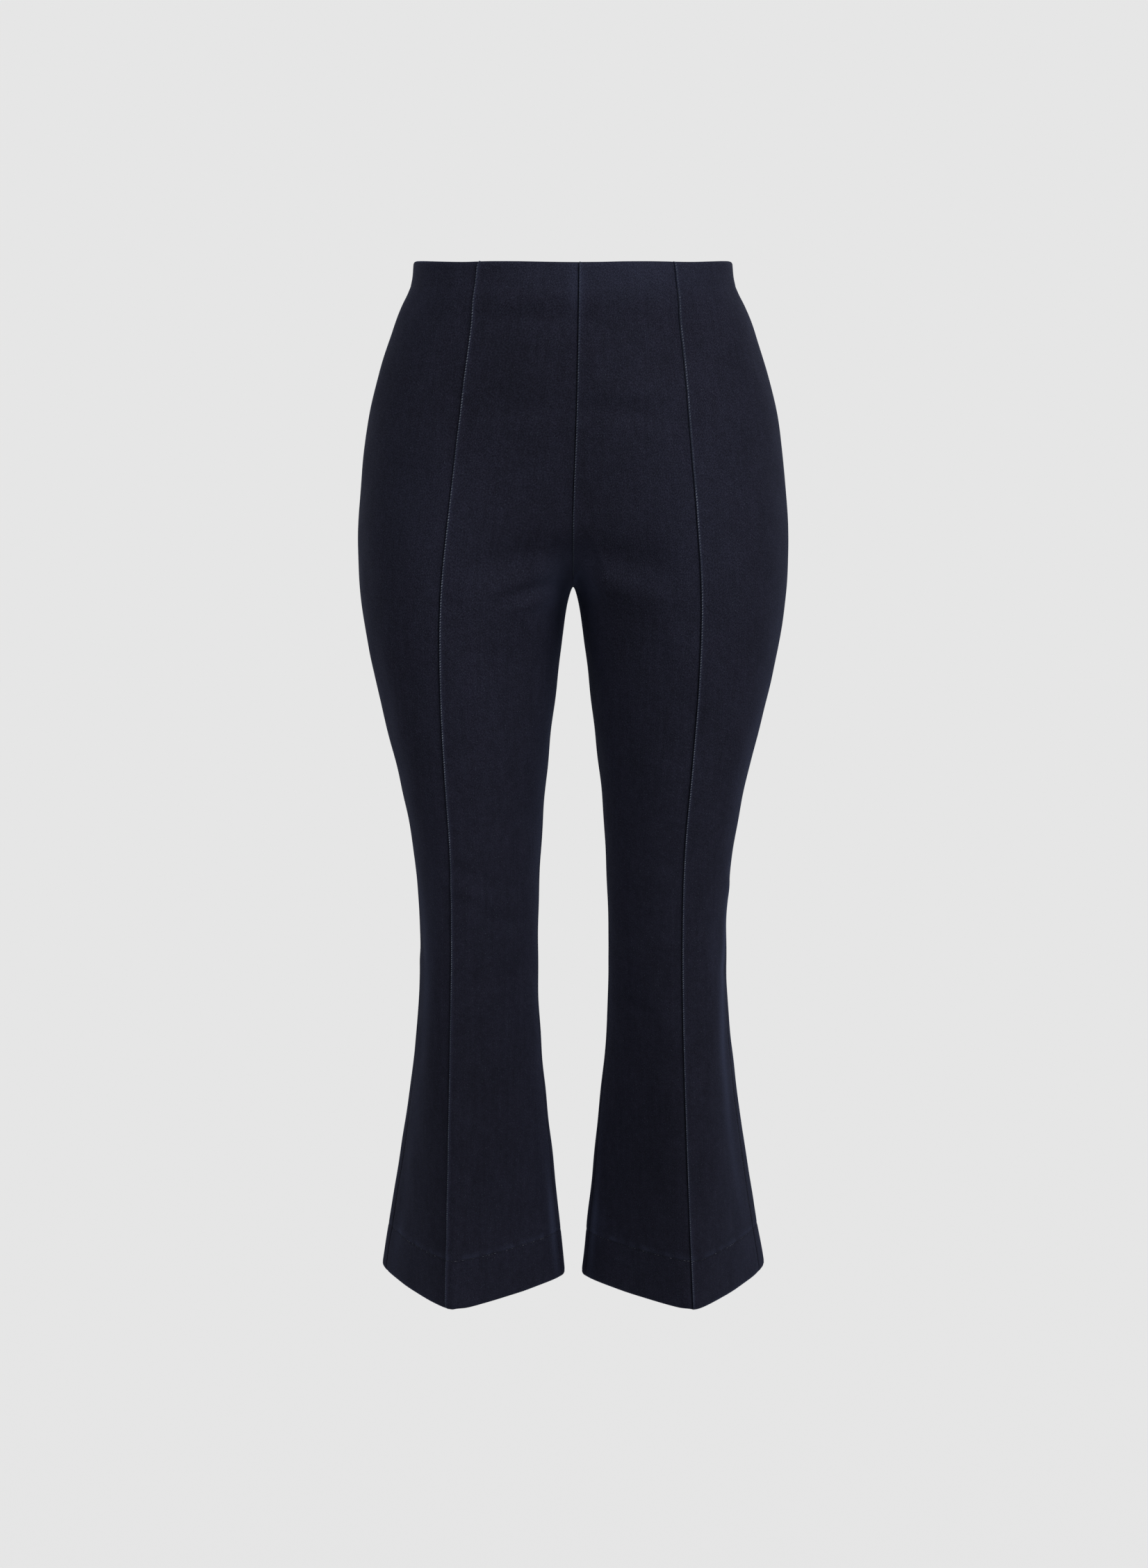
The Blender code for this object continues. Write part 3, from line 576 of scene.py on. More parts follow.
class JeansThread(bpy.types.PropertyGroup):
    """Sizes and colours of the worn edges and the stitching."""

    strand_width: bpy.props.FloatProperty(
        name="Strand width", description="Width of a strand, as a share of the full one",
        default=1.0, min=0.2, max=2.0, subtype="FACTOR")
    strand_slant: bpy.props.FloatProperty(
        name="Strand slant", description="How far a strand leans off its seam",
        default=math.radians(32), subtype="ANGLE")
    strand_dark: bpy.props.FloatVectorProperty(
        name="Dark strand", description="A strand that has kept its dye",
        default=(0.022, 0.029, 0.048), size=3, subtype="COLOR")
    strand_light: bpy.props.FloatVectorProperty(
        name="Light strand", description="A strand that is rubbed bare",
        default=(0.29, 0.33, 0.40), size=3, subtype="COLOR")
    stitch_pitch: bpy.props.FloatProperty(
        name="Stitch", description="Distance from one hem stitch to the next",
        default=0.0032, unit="LENGTH")
    stitch_width: bpy.props.FloatProperty(
        name="Stitch width", description="Width of the hem's thread", default=0.00046,
        unit="LENGTH")
    stitch_dark: bpy.props.FloatVectorProperty(
        name="Dark stitch", description="The hem's thread", default=(0.016, 0.018, 0.029),
        size=3, subtype="COLOR")
    stitch_light: bpy.props.FloatVectorProperty(
        name="Light stitch", description="The hem's thread where it is rubbed",
        default=(0.14, 0.15, 0.18), size=3, subtype="COLOR")


class JeansStudio(bpy.types.PropertyGroup):
    """The floor, the lights and the camera."""

    pale: bpy.props.FloatVectorProperty(
        name="Pale grey", description="Colour of the floor and of what lies behind",
        default=(0.7913, 0.7913, 0.7913), size=3, subtype="COLOR")
    floor_down: bpy.props.FloatProperty(
        name="Floor", description="How far below the waist the floor lies", default=1.60,
        unit="LENGTH")
    floor_reach: bpy.props.FloatProperty(
        name="Floor reach", description="Radius of the floor", default=14.0, unit="LENGTH")
    ambient: bpy.props.FloatProperty(
        name="Light all round", description="Share of the room's light that reaches the jeans",
        default=0.25, min=0.0, max=1.0, subtype="FACTOR")
    key: bpy.props.FloatProperty(
        name="Key light", description="Power of the large soft light on the right",
        default=52.0, subtype="POWER")
    fill: bpy.props.FloatProperty(
        name="Fill light", description="Power of the large soft light on the left",
        default=20.0, subtype="POWER")
    back: bpy.props.FloatProperty(
        name="Back light", description="Power of each of the two lights behind",
        default=7.0, subtype="POWER")
    low: bpy.props.FloatProperty(
        name="Low light", description="Power of the small soft light low in front",
        default=14.0, subtype="POWER")
    camera_back: bpy.props.FloatProperty(
        name="Camera distance", description="How far in front of the middle the camera is",
        default=2.25, unit="LENGTH")
    camera_across: bpy.props.FloatProperty(
        name="Camera across", description="How far to the right of the middle it is",
        default=0.0007, unit="LENGTH")
    camera_down: bpy.props.FloatProperty(
        name="Camera height", description="How far below the waist it is", default=0.141,
        unit="LENGTH")
    camera_pitch: bpy.props.FloatProperty(
        name="Camera pitch", description="How far it looks down", default=math.radians(7.48),
        subtype="ANGLE")
    lens: bpy.props.FloatProperty(
        name="Lens", description="Focal length", default=61.35, subtype="DISTANCE_CAMERA")


def read(line, name, down):
    """A named column of a guide line at a height, on a smooth curve through its rows."""
    names, *rows = line
    heights = [row[0] for row in rows]
    values = [row[names.index(name)] for row in rows]
    down = min(max(down, heights[0]), heights[-1])
    after = next(i for i in range(1, len(heights)) if down <= heights[i])
    before = after - 1

    def grade(i):
        """Steepness at row i, from the rows on both sides of it."""
        grades = [
            (values[k + 1] - values[k]) / (heights[k + 1] - heights[k])
            for k in (i - 1, i)
            if 0 <= k < len(heights) - 1
        ]
        if len(grades) == 1:
            return grades[0]
        above = heights[i] - heights[i - 1]
        below = heights[i + 1] - heights[i]
        return (grades[0] * below + grades[1] * above) / (above + below)

    span = heights[after] - heights[before]
    share = (down - heights[before]) / span
    return hermite(share, values[before], values[after], grade(before) * span,
                   grade(after) * span)


def read_straight(line, name, downs):
    """A named column of a line at many heights, on straight lines through its rows."""
    names, *rows = line
    rows = np.array(rows)
    return np.interp(downs, rows[:, 0], rows[:, names.index(name)])


def hermite(share, start, end, start_way, end_way):
    """A smooth step from start to end that leaves and arrives along the two ways."""
    square, cube = share**2, share**3
    return (
        start * (2 * cube - 3 * square + 1)
        + start_way * (cube - 2 * square + share)
        + end * (3 * square - 2 * cube)
        + end_way * (cube - square)
    )


def spot(across, back, down):
    """A point from its three sizes."""
    return np.array((across, back, -down), float)


def unit(vectors):
    """The same directions, each one metre long."""
    return vectors / np.maximum(np.linalg.norm(vectors, axis=-1, keepdims=True), TINY)


def bow(start, end, start_way, end_way, start_round, end_round):
    """Points of a bow from start to end, along a way and as round as given at each end."""
    chord = np.linalg.norm(end - start)
    first = start + unit(start_way) * chord * start_round
    last = end - unit(end_way) * chord * end_round
    t = np.linspace(0.0, 1.0, SAMPLES + 1)[:, None]
    return (start * (1 - t) ** 3 + first * 3 * t * (1 - t) ** 2
            + last * 3 * t**2 * (1 - t) + end * t**3)


def along(points):
    """How far along a run of points each of them is."""
    steps = np.linalg.norm(np.diff(points, axis=0), axis=1)
    return np.concatenate(([0.0], np.cumsum(steps)))


def at(points, distances, held=None):
    """The points of a run, or the vectors held by them, at some distances along it."""
    total = along(points)
    values = points if held is None else held
    return np.stack([np.interp(distances, total, values[:, k]) for k in range(3)], axis=1)


def ways_along(points, distances):
    """The direction of a run of points at some distances along it."""
    return unit(at(points, distances + WAY_REACH) - at(points, distances - WAY_REACH))


def cut(points, start, end):
    """The part of a run of points between two distances along it."""
    total = along(points)
    inner = points[(total > start + SAME) & (total < end - SAME)]
    ends = at(points, [start, end])
    return np.vstack((ends[:1], inner, ends[1:]))


def places_in(cuts, seam_first=False, seam_last=False):
    """Where the fine columns lie, counted in coarse cells, which are cut as given."""
    places = []
    for cell, parts in enumerate(cuts):
        shares = [k / parts for k in range(parts)]
        if seam_first and cell == 0:
            shares = BESIDE_SEAM
        if seam_last and cell == len(cuts) - 1:
            shares = [0.0] + [1 - share for share in BESIDE_SEAM[:0:-1]]
        places += [cell + share for share in shares]
    return np.array(places + [len(cuts)])


PLACES = {  # each stretch of columns, in order from the front to the back
    "fork_front": places_in((FORK_PARTS,) * FORK_CELLS, seam_first=True),
    "front": places_in(PINCH_PARTS + (PLAIN_PARTS,) * FRONT_CELLS + PINCH_PARTS[::-1]),
    "side": places_in(PINCH_PARTS + (PLAIN_PARTS,) * SIDE_CELLS, seam_last=True),
    "hip": places_in((HIP_PARTS,) * HIP_CELLS, seam_first=True),
    "seat": places_in((PLAIN_PARTS,) * SEAT_CELLS, seam_last=True),
    "fork_back": places_in((FORK_PARTS,) * FORK_CELLS, seam_last=True),
}


def even(points, name):
    """The fine columns of a stretch whose coarse cells are all equally wide."""
    return at(points, PLACES[name] / PLACES[name][-1] * along(points)[-1])


def beside_seams(points, name, cells, before, after):
    """The fine columns of a stretch with narrow coarse cells beside its seams."""
    last = along(points)[-1] - after[-1]
    steps = [*before]
    steps += [before[-1] + (last - before[-1]) * (i + 1) / cells for i in range(cells)]
    steps += [last + after[-1] - step for step in reversed(after[:-1])]
    return at(points, np.interp(PLACES[name], range(len(steps)), steps))


def guide_points(down):
    """The foremost, widest, rearmost and innermost points of the leg at a height."""
    dip = SEAM_DIP * max(0.0, 1 - down / FORK)
    front = spot(read(FRONT_LINE, "out", down), -read(FRONT_LINE, "front", down), down + dip)
    others = (
        spot(read(line, "out", down), read(line, "back", down), down)
        for line in (SIDE_LINE, BACK_LINE, INSIDE_LINE)
    )
    return front, *others


def centre_point(down, name):
    """A point of the centre-front or centre-back seam, above the crotch curve."""
    depth = read(CENTRE_LINE, name, down)
    if name == "back":
        return spot(0.0, depth, down)
    return spot(0.0, -depth, down + CENTRE_DIP * max(0.0, 1 - down / FORK))


def crotch_curve(name):
    """Half of the crotch curve, from its lowest point up to the centre front or back."""
    top = centre_point(FORK, name)
    low = spot(0.0, CROTCH_BACK, CROTCH_DOWN)
    level = np.array((0.0, top[1] - low[1], 0.0))
    up = centre_point(FORK - NUDGE, name) - top
    return bow(low, top, level, up, LOW_ROUND, HIGH_ROUND)


def quarters(down):
    """The section at a height: inner front, outer front, outer back and inner back."""
    front, side, back, inside = guide_points(down)
    front_turn, back_turn = (
        math.radians(read(line, "turn", down)) for line in (FRONT_LINE, BACK_LINE))
    front_round, side_round, back_round = (
        read(line, "round", down) for line in (FRONT_LINE, SIDE_LINE, BACK_LINE))
    out_along_front = np.array((math.cos(front_turn), math.sin(front_turn), 0.0))
    in_along_back = np.array((-math.cos(back_turn), math.sin(back_turn), 0.0))
    to_back, to_front = np.array((0.0, 1.0, 0.0)), np.array((0.0, -1.0, 0.0))
    if down <= FORK:
        start, start_way = centre_point(down, "front"), np.array((1.0, 0.0, 0.0))
        end, end_way = centre_point(down, "back"), np.array((-1.0, 0.0, 0.0))
        inner_round = front_round
    else:
        start = end = inside
        start_way = end_way = to_front
        inner_round = read(INSIDE_LINE, "round", down)
    return (
        bow(start, front, start_way, out_along_front, inner_round, front_round),
        bow(front, side, out_along_front, to_back, front_round, side_round),
        bow(side, back, to_back, in_along_back, side_round, back_round),
        bow(back, end, in_along_back, end_way, back_round, inner_round),
    )


def stretches(down, side):
    """The fine columns of one row, from seam to seam."""
    inner_front, outer_front, outer_back, inner_back = quarters(down)
    front_whole = np.vstack((inner_front[:-1], outer_front))
    side_at = along(front_whole)[-1]
    drift = side * read(DRIFT_LINE, "legs", down)
    seam_at = along(inner_front)[-1] + read(SEAM_LINE, "front", down) + drift
    outside_at = side_at - read(SEAM_LINE, "outside", down) + min(drift, 0.0)
    hip_run = np.vstack((cut(front_whole, outside_at, side_at)[:-1], outer_back))
    side_run = cut(front_whole, seam_at, outside_at)
    row = {
        "hip": even(hip_run, "hip"),
        "side": beside_seams(side_run, "side", SIDE_CELLS, PINCH, (0.0,)),
    }
    if down <= FORK:
        spread = (down / FORK) ** PINCH_FADE
        wide = (seam_at - PINCH[-1]) / (FRONT_CELLS + len(PINCH) - 1)
        by_centre = [step + (wide * k - step) * spread for k, step in enumerate(PINCH)]
        front_run = cut(front_whole, 0.0, seam_at)
        row["front"] = beside_seams(front_run, "front", FRONT_CELLS, by_centre, PINCH)
        row["seat"] = even(inner_back, "seat")
        return row
    inside = read(SEAM_LINE, "inside", down)
    front_knot = inside + (seam_at - inside) * FORK_SHARE
    row["fork_front"] = even(cut(front_whole, inside, front_knot), "fork_front")
    cells = FRONT_CELLS + len(PINCH) - 1
    front_run = cut(front_whole, front_knot, seam_at)
    row["front"] = beside_seams(front_run, "front", cells, (0.0,), PINCH)
    back_whole = along(inner_back)[-1]
    back_knot = back_whole * (1 - FORK_SHARE)
    row["seat"] = even(cut(inner_back, 0.0, back_knot), "seat")
    under = (cut(inner_back, back_knot, back_whole)[:-1], cut(front_whole, 0.0, inside))
    row["fork_back"] = even(np.vstack(under), "fork_back")
    return row


def fork_row(side):
    """The row that runs along the crotch curve."""
    row = stretches(FORK, side)
    row["fork_front"] = even(crotch_curve("front"), "fork_front")
    row["fork_back"] = even(crotch_curve("back")[::-1], "fork_back")
    return row


def leaving_way(name, top, above):
    """Which way, for each metre of height, the columns leave the row of the crotch curve."""
    places = PLACES[name]
    share = places / places[-1]
    reach = CORNER_SPREAD / (JOIN - FORK)
    outward = np.array((1.0, 0.0, 0.0))
    if name in ("front", "seat"):
        from_corner = share if name == "front" else 1 - share
        plain = (top[name] - above[name]) / NUDGE
        corner = (plain + outward) * reach
        return plain + (corner - plain) * ((1 - from_corner) ** CORNER_FADE)[:, None]
    from_low = share if name == "fork_front" else 1 - share
    whole, cells = along(top[name])[-1], places[-1]
    before = at(top[name], np.clip(places - 1, 0, cells) / cells * whole)
    after = at(top[name], np.clip(places + 1, 0, cells) / cells * whole)
    down_curve = unit(before - after) if name == "fork_front" else unit(after - before)
    arch = ARCH_WIDTH / (JOIN - FORK)
    out = (arch + (reach - arch) * from_low)[:, None] * outward
    return out + down_curve * (reach * from_low**CORNER_FADE)[:, None]


def rows_below_fork(side, shares):
    """The rows that turn the crotch curve into a plain tube."""
    top, bottom = fork_row(side), stretches(JOIN, side)
    above, below = stretches(FORK - NUDGE, side), stretches(JOIN + NUDGE, side)
    span = JOIN - FORK
    rows = []
    for share in shares:
        row = stretches(FORK + share * span, side)
        for name in ("fork_front", "front", "seat", "fork_back"):
            arriving = (below[name] - bottom[name]) / NUDGE * span
            leaving = leaving_way(name, top, above) * span
            row[name] = hermite(share, top[name], bottom[name], leaving, arriving)
        weight = (PLACES["front"] / PLACES["front"][-1])[:, None]
        row["front"] += (row["side"][0] - row["front"][-1]) * weight
        weight = 1 - (PLACES["seat"] / PLACES["seat"][-1])[:, None]
        row["seat"] += (row["hip"][-1] - row["seat"][0]) * weight
        rows.append(row)
    return rows


def beside_centre(points, share):
    """The inner front's columns, kept close to the centre seam until the crotch curve ends."""
    own = along(points)
    pinched = sum(PINCH_PARTS)
    near = np.interp(PLACES["front"][:pinched + 1], range(len(PINCH)), PINCH)
    last = len(own) - 1 - pinched
    middle = np.linspace(near[-1], own[last], last - pinched + 1)
    close = np.concatenate((near, middle[1:], own[last + 1:]))
    return at(points, close + (own - close) * soft(share / CLOSE_SHARE))


def row_heights(cloth):
    """How far down the fine rows lie: above the fork, below its curve, and on the legs."""
    folds = (cloth.waist_fold, LENGTH - cloth.hem_fold)
    close = [fold + step for fold in folds for step in FOLD_STEPS]
    close += [*EDGE_STEPS, *(LENGTH - step for step in EDGE_STEPS)]
    too_near = ROW_STEP / 3
    plain = (k * ROW_STEP for k in range(round(LENGTH / ROW_STEP)))
    heights = [down for down in plain if min(abs(down - other) for other in close) > too_near]
    heights = sorted(close + heights)
    above = [down for down in heights if down < FORK - too_near]
    legs = [down for down in heights if down > JOIN + too_near]
    count = round((JOIN - FORK) / ROW_STEP)
    shares = [k / count for k in range(CROTCH_ROWS, count)]
    return above, [*CROTCH_STEPS, *shares], [JOIN, *legs]


def column_ranges():
    """The first and the last fine column of each stretch."""
    ranges, first = {}, 0
    for name, places in PLACES.items():
        ranges[name] = (first, first + len(places) - 1)
        first += len(places) - 1
    return ranges


def make_skin(cloth):
    """Both halves as nets of points, with nothing where a row has no such column."""
    above, shares, legs = row_heights(cloth)
    ranges = column_ranges()
    nets = []
    for side in SIDES:
        rows = [stretches(down, side) for down in above]
        rows.append(fork_row(side))
        rows += rows_below_fork(side, shares)
        for row, share in zip(rows, [0.0] * (len(above) + 1) + shares):
            row["front"] = beside_centre(row["front"], share)
        rows += [stretches(down, side) for down in legs]
        net = np.full((len(rows), ranges["fork_back"][1] + 1, 3), np.nan)
        for j, row in enumerate(rows):
            for name, points in row.items():
                first, last = ranges[name]
                net[j, first:last + 1] = points
        net[..., 0] *= side
        nets.append(net)
    downs = [*above, FORK, *(FORK + share * (JOIN - FORK) for share in shares), *legs]
    return {
        "nets": nets,
        "normals": skin_normals(nets),
        "downs": np.array(downs),
        "fork": len(above),
        "ranges": ranges,
    }


def skin_normals(nets):
    """Outward directions over both halves, smooth across every seam."""
    points = np.concatenate([net.reshape(-1, 3) for net in nets])
    there = ~np.isnan(points[:, 0])
    keys = np.round(points[there] / SAME).astype(int)
    firsts, corners = np.unique(keys, axis=0, return_index=True, return_inverse=True)[1:]
    ids = np.full(len(points), -1)
    ids[there] = corners.reshape(-1)
    places = points[there][firsts]
    sums = np.zeros_like(places)
    for side, grid in zip(SIDES, np.split(ids, len(nets))):
        faces = quads(grid.reshape(nets[0].shape[:2]), side)
        a, b, c, d = (places[faces[:, k]] for k in range(4))
        for k in range(4):
            np.add.at(sums, faces[:, k], np.cross(c - a, d - b))
    normals = np.full_like(points, np.nan)
    normals[there] = unit(sums)[ids[there]]
    return [part.reshape(nets[0].shape) for part in np.split(normals, len(nets))]


def numbered(there):
    """A grid of corner numbers, row by row, with -1 where there is no corner."""
    grid = np.full(there.shape, -1)
    grid[there] = np.arange(there.sum())
    return grid


def quads(grid, side):
    """The faces of a grid of corner numbers, which are -1 where there is no corner."""
    faces = np.stack((grid[:-1, :-1], grid[1:, :-1], grid[1:, 1:], grid[:-1, 1:]), axis=-1)
    faces = faces.reshape(-1, 4)
    faces = faces[(faces >= 0).all(axis=1)]
    return faces if side > 0 else faces[:, ::-1]


def soft(share):
    """A soft step from 0 to 1."""
    share = np.clip(share, 0.0, 1.0)
    return share * share * (3 - 2 * share)


def placed(points, side, gap):
    """Points kept on their own side of the middle, with the centre front's drift."""
    heights = np.linspace(0.0, FORK, DRIFT_READS)
    drifts = [read(DRIFT_LINE, "centre", down) for down in heights]
    out = np.maximum(points[..., 0] * side, gap / 2)
    share = soft(-points[..., 1] / DRIFT_FRONT) * soft(1 - out / DRIFT_REACH)
    moved = points.copy()
    moved[..., 0] = out * side + np.interp(-points[..., 2], heights, drifts) * share
    return moved


def quarter_round(share):
    """How far a rounded edge has sunk: 1 at the edge itself, 0 from a share of 1 inwards."""
    return 1 - np.sqrt(1 - (1 - np.clip(share, 0.0, 1.0)) ** 2)


def distance_to(line, points):
    """How far each point is from a line of points."""
    whole = along(line)[-1]
    spots = at(line, np.linspace(0.0, whole, max(2, int(whole / SPOT_STEP))))
    tree = KDTree(len(spots))
    for i, place in enumerate(spots):
        tree.insert(place, i)
    tree.balance()
    return np.array([tree.find(p)[2] for p in points])


def hump(distances, strength, off, width):
    """A soft hump of a strength, that lies off by a distance and has half a width."""
    return strength * np.exp(-((distances - off) / width) ** 2)


def seen_from(facing, points, normals):
    """How far to the right and down points lie from one side, and how far they face it."""
    outward, rightward = (np.array(way) for way in FACINGS[facing])
    return points @ rightward, -points[:, 2], normals @ outward * FACING_GAIN


def crease_height(points, normals):
    """The listed creases: each a soft ridge or trough with a fainter one below it."""
    total = np.zeros(len(points))
    for facing, across, down, length, width, height, turn in CREASES:
        right, below, facing_it = seen_from(facing, points, normals)
        x, y = right - across, below - down
        turn = math.radians(turn)
        run = (x * math.cos(turn) + y * math.sin(turn)) / length
        over = (y * math.cos(turn) - x * math.sin(turn)) / width - CREASE_SAG * run**2
        ends = soft(CREASE_HOLD - np.abs(run) * CREASE_TAPER)
        mask = soft(facing_it - CREASE_EDGE) * ends
        echo = ECHO_HEIGHT * np.exp(-(over - ECHO_BELOW) ** 2)
        total += mask * height * (np.exp(-over**2) - echo)
    return total


def wave_height(points):
    """The gentle unevenness of worn cloth: a few long waves that cross."""
    chance = np.random.default_rng(WAVE_SEED)
    total = np.zeros(len(points))
    for _ in range(WAVE_COUNT):
        way = unit(chance.normal(size=3) * WAVE_WAYS)
        size = chance.uniform(*WAVE_SIZES)
        total += np.sin(points @ way * 2 * math.pi / size + chance.uniform(0, WAVE_SHIFT))
    return total * WAVE_HEIGHT / math.sqrt(WAVE_COUNT / 2)


def wall_at(cloth, downs):
    """Thickness of the cloth at some heights."""
    turn_in, turn_up = cloth.waist_fold, LENGTH - cloth.hem_fold
    heights = (0.0, turn_in - FOLD_HALF, turn_in + FOLD_HALF,
               turn_up - FOLD_HALF, turn_up + FOLD_HALF, LENGTH)
    walls = (cloth.waist_wall,) * 2 + (cloth.wall,) * 2 + (cloth.hem_wall,) * 2
    return np.interp(downs, heights, walls)


def seam_lines(net, fork, first, last):
    """The seams round a piece: its two sides, and its centre seam with the crotch curve."""
    there = ~np.isnan(net[..., 0])
    starts = np.array([row[seen.argmax()] for row, seen in zip(net, there)])
    ends = np.array([row[::-1][seen[::-1].argmax()] for row, seen in zip(net, there)])
    lines = {"start": starts, "end": ends}
    width = len(PLACES["fork_front"])
    if first == "fork_front":
        lines["centre"] = np.vstack((starts[:fork], net[fork, :width][::-1]))
        lines["start"] = starts[fork:]
    if last == "fork_back":
        lines["centre"] = np.vstack((ends[:fork], net[fork, -width:]))
        lines["end"] = ends[fork:]
    return lines


def rub_and_light_at(name, line_name, near, downs):
    """How rubbed the cloth beside one seam of a piece is, with painted sheen on the outside
    stripes and light painted on the inner thighs.
    """
    total = np.zeros(len(near))
    for piece, seam, off, width, column in RUBBED_AND_LIT_SEAMS:
        if (piece, seam) != (name, line_name):
            continue
        if off in RUBS_AND_LIGHT[0]:
            off = read_straight(RUBS_AND_LIGHT, off, downs)
        total += hump(near, read_straight(RUBS_AND_LIGHT, column, downs), off, width)
    return total


def patch_strength(points, normals):
    """How pale (or dark, below 0) the listed patches make each point."""
    # Pale patches paint light and dark ones paint shade, save the worn streaks above the hem
    total = np.zeros(len(points))
    for facing, across, down, width, height, strength in PATCHES:
        right, below, facing_it = seen_from(facing, points, normals)
        run, over = (right - across) / width, (below - down) / height
        total += strength * soft(facing_it) * np.exp(-run**2 - over**2)
    return total


def cloth_grid(net, side, from_start):
    """Where each point lies on the flat cloth: along the row, and along the seam beside it."""
    steps = np.linalg.norm(np.diff(net, axis=1), axis=2)
    run = np.cumsum(np.nan_to_num(steps), axis=1)
    whole = np.concatenate((np.zeros((len(net), 1)), run), axis=1)
    edge = 0 if from_start else net.shape[1] - 1
    return np.stack((
        (whole - whole[:, edge:edge + 1]) * side,
        np.broadcast_to(along(net[:, edge])[:, None], net.shape[:2]),
    ), axis=-1)


def pucker(run):
    """How strongly the hem's stitching pulls at each place along it, from 0 to 1."""
    waves = [
        np.sin(run * 2 * math.pi / size + k * PUCKER_SHIFT)
        for k, size in enumerate(HEM_PUCKERS)
    ]
    return 0.5 + 0.5 * np.mean(waves, axis=0)


def pair_of(name):
    """The name that a left and a right piece share."""
    return name.rsplit("_", 1)[0]


def seam_relief(name, lines, points, downs):
    """What a piece's seams do: its ridge, its grooves with the shade painted into them, and the
    rubbed cloth beside them, with light painted on the inner thighs.
    """
    ridge, groove, shade, rubbed = (np.zeros(len(points)) for _ in range(4))
    near_seam = np.ones(len(points))
    *_, pinched = PIECES[name]
    for line_name, line in lines.items():
        near = distance_to(line, points)
        fade = 1.0
        if line_name == "centre":
            kind = "ridge" if pinched == "centre" else "groove"
            fade = read_straight(CENTRE_FADE, kind, -points[:, 2])
        if line_name == pinched:
            ridge = np.interp(near, *RIDGE) * fade
            continue
        # A plain seam's groove, which is also painted as shade along it
        dip = np.interp(near, *GROOVE) * fade
        groove = np.maximum(groove, dip)
        if (pair_of(name), line_name) in INSIDE_SEAMS:
            dip = dip * INSIDE_DARK
        shade = np.maximum(shade, dip)
        near_seam = np.minimum(near_seam, near)
        # Wear beside the seam, with painted sheen and the light painted on the inner thighs
        rubbed += rub_and_light_at(name, line_name, near, downs)
    return ridge, groove, shade, rubbed + hump(near_seam, *SEAM_WEAR)


def make_points(cloth, name):
    """The outer and inner points of one cut piece, with all that its material reads."""
    skin = made["skin"]
    side, first, last, _ = PIECES[name]
    half = SIDES.index(side)
    columns = slice(skin["ranges"][first][0], skin["ranges"][last][1] + 1)
    net = skin["nets"][half][:, columns].copy()
    there = ~np.isnan(net[..., 0])
    lines = seam_lines(net, skin["fork"], first, last)
    on_cloth = cloth_grid(net, side, first != "fork_front")[there]
    meeting = net[there]
    for row, seen in zip(net, there):
        a, b = seen.argmax(), len(seen) - 1 - seen[::-1].argmax()
        row[a] += unit(row[a + 1] - row[a]) * cloth.seam_gap / 2
        row[b] += unit(row[b - 1] - row[b]) * cloth.seam_gap / 2
    points, normals = net[there], skin["normals"][half][:, columns][there]
    downs = np.broadcast_to(skin["downs"][:, None], there.shape)[there]

    ridge, groove, shade, rubbed = seam_relief(name, lines, points, downs)
    above_hem, below_waist = downs - (LENGTH - cloth.hem_fold), downs - cloth.waist_fold
    hem_stitch, waist_stitch = (
        np.interp(np.abs(off), *STITCHING) for off in (above_hem, below_waist))
    pull = pucker(on_cloth[:, 0])
    to_edge = np.minimum(downs, LENGTH - downs)
    ridge = ridge * (RIDGE_LEAST + (1 - RIDGE_LEAST) * soft(to_edge / RIDGE_END))

    drape = crease_height(points, normals) * cloth.creases + wave_height(points)
    lift = drape + ridge * cloth.ridge - groove * cloth.groove
    lift -= hem_stitch * (PUCKER_LEAST + (1 - PUCKER_LEAST) * pull) * cloth.hem_pucker
    lift -= waist_stitch * cloth.waist_line
    wall = wall_at(cloth, downs)
    sink = wall / 2 * EDGE_KEEP * quarter_round(to_edge / (wall / 2))
    for (height, depth), reach in zip(EDGE_ROLLS, (downs, LENGTH - downs)):
        roll = depth * quarter_round(reach / height)
        drape, lift = drape - roll, lift - roll
    outer = points + normals * (lift - sink)[:, None]
    inner = meeting + normals * (drape - wall + sink)[:, None]
    out, width, blunt = HEM_TIP
    tip = hump(np.abs(points[:, 0]), blunt, out, width) * (points[:, 1] < 0)
    for face in (outer, inner):
        face[:, 2] -= (HEM_DROP - tip) * soft(1 - (LENGTH - downs) / HEM_REACH)

    patches = patch_strength(points, normals)
    # Wear, with painted light from the thigh columns and the pale patches
    edge_wear, edge_reach = EDGE_WEAR
    wear = RIDGE_WEAR * ridge + edge_wear * np.exp(-to_edge / edge_reach)
    wear += STITCH_WEAR * hem_stitch * pull + rubbed + np.maximum(patches, 0.0)
    wear += hump(above_hem, *FOLD_WEAR) * pull**FOLD_PULL
    # Painted shade: along the seams' grooves, along the hem's stitching, and the dark patches
    shade = shade + hump(above_hem, *STITCH_SHADE) + np.maximum(-patches, 0.0)
    one_layer = (below_waist > 0) & (above_hem < 0)
    return {
        "there": there,
        "outer": placed(outer, side, cloth.seam_gap),
        "inner": placed(inner, side, 0.0),
        "normals": normals,
        "on_cloth": on_cloth,
        "wear": np.concatenate((wear, wear * INNER_WEAR)),
        "deep": np.concatenate((np.minimum(shade, 1.0), np.zeros(len(points)))),
        "inside": np.concatenate((np.zeros(len(points)), one_layer * 1.0)),
    }


def cut_points(cloth, name):
    """The points of a piece, worked out the first time that they are asked for."""
    if "skin" not in made:
        made["skin"] = make_skin(cloth)
    if name not in made:
        made[name] = make_points(cloth, name)
    return made[name]


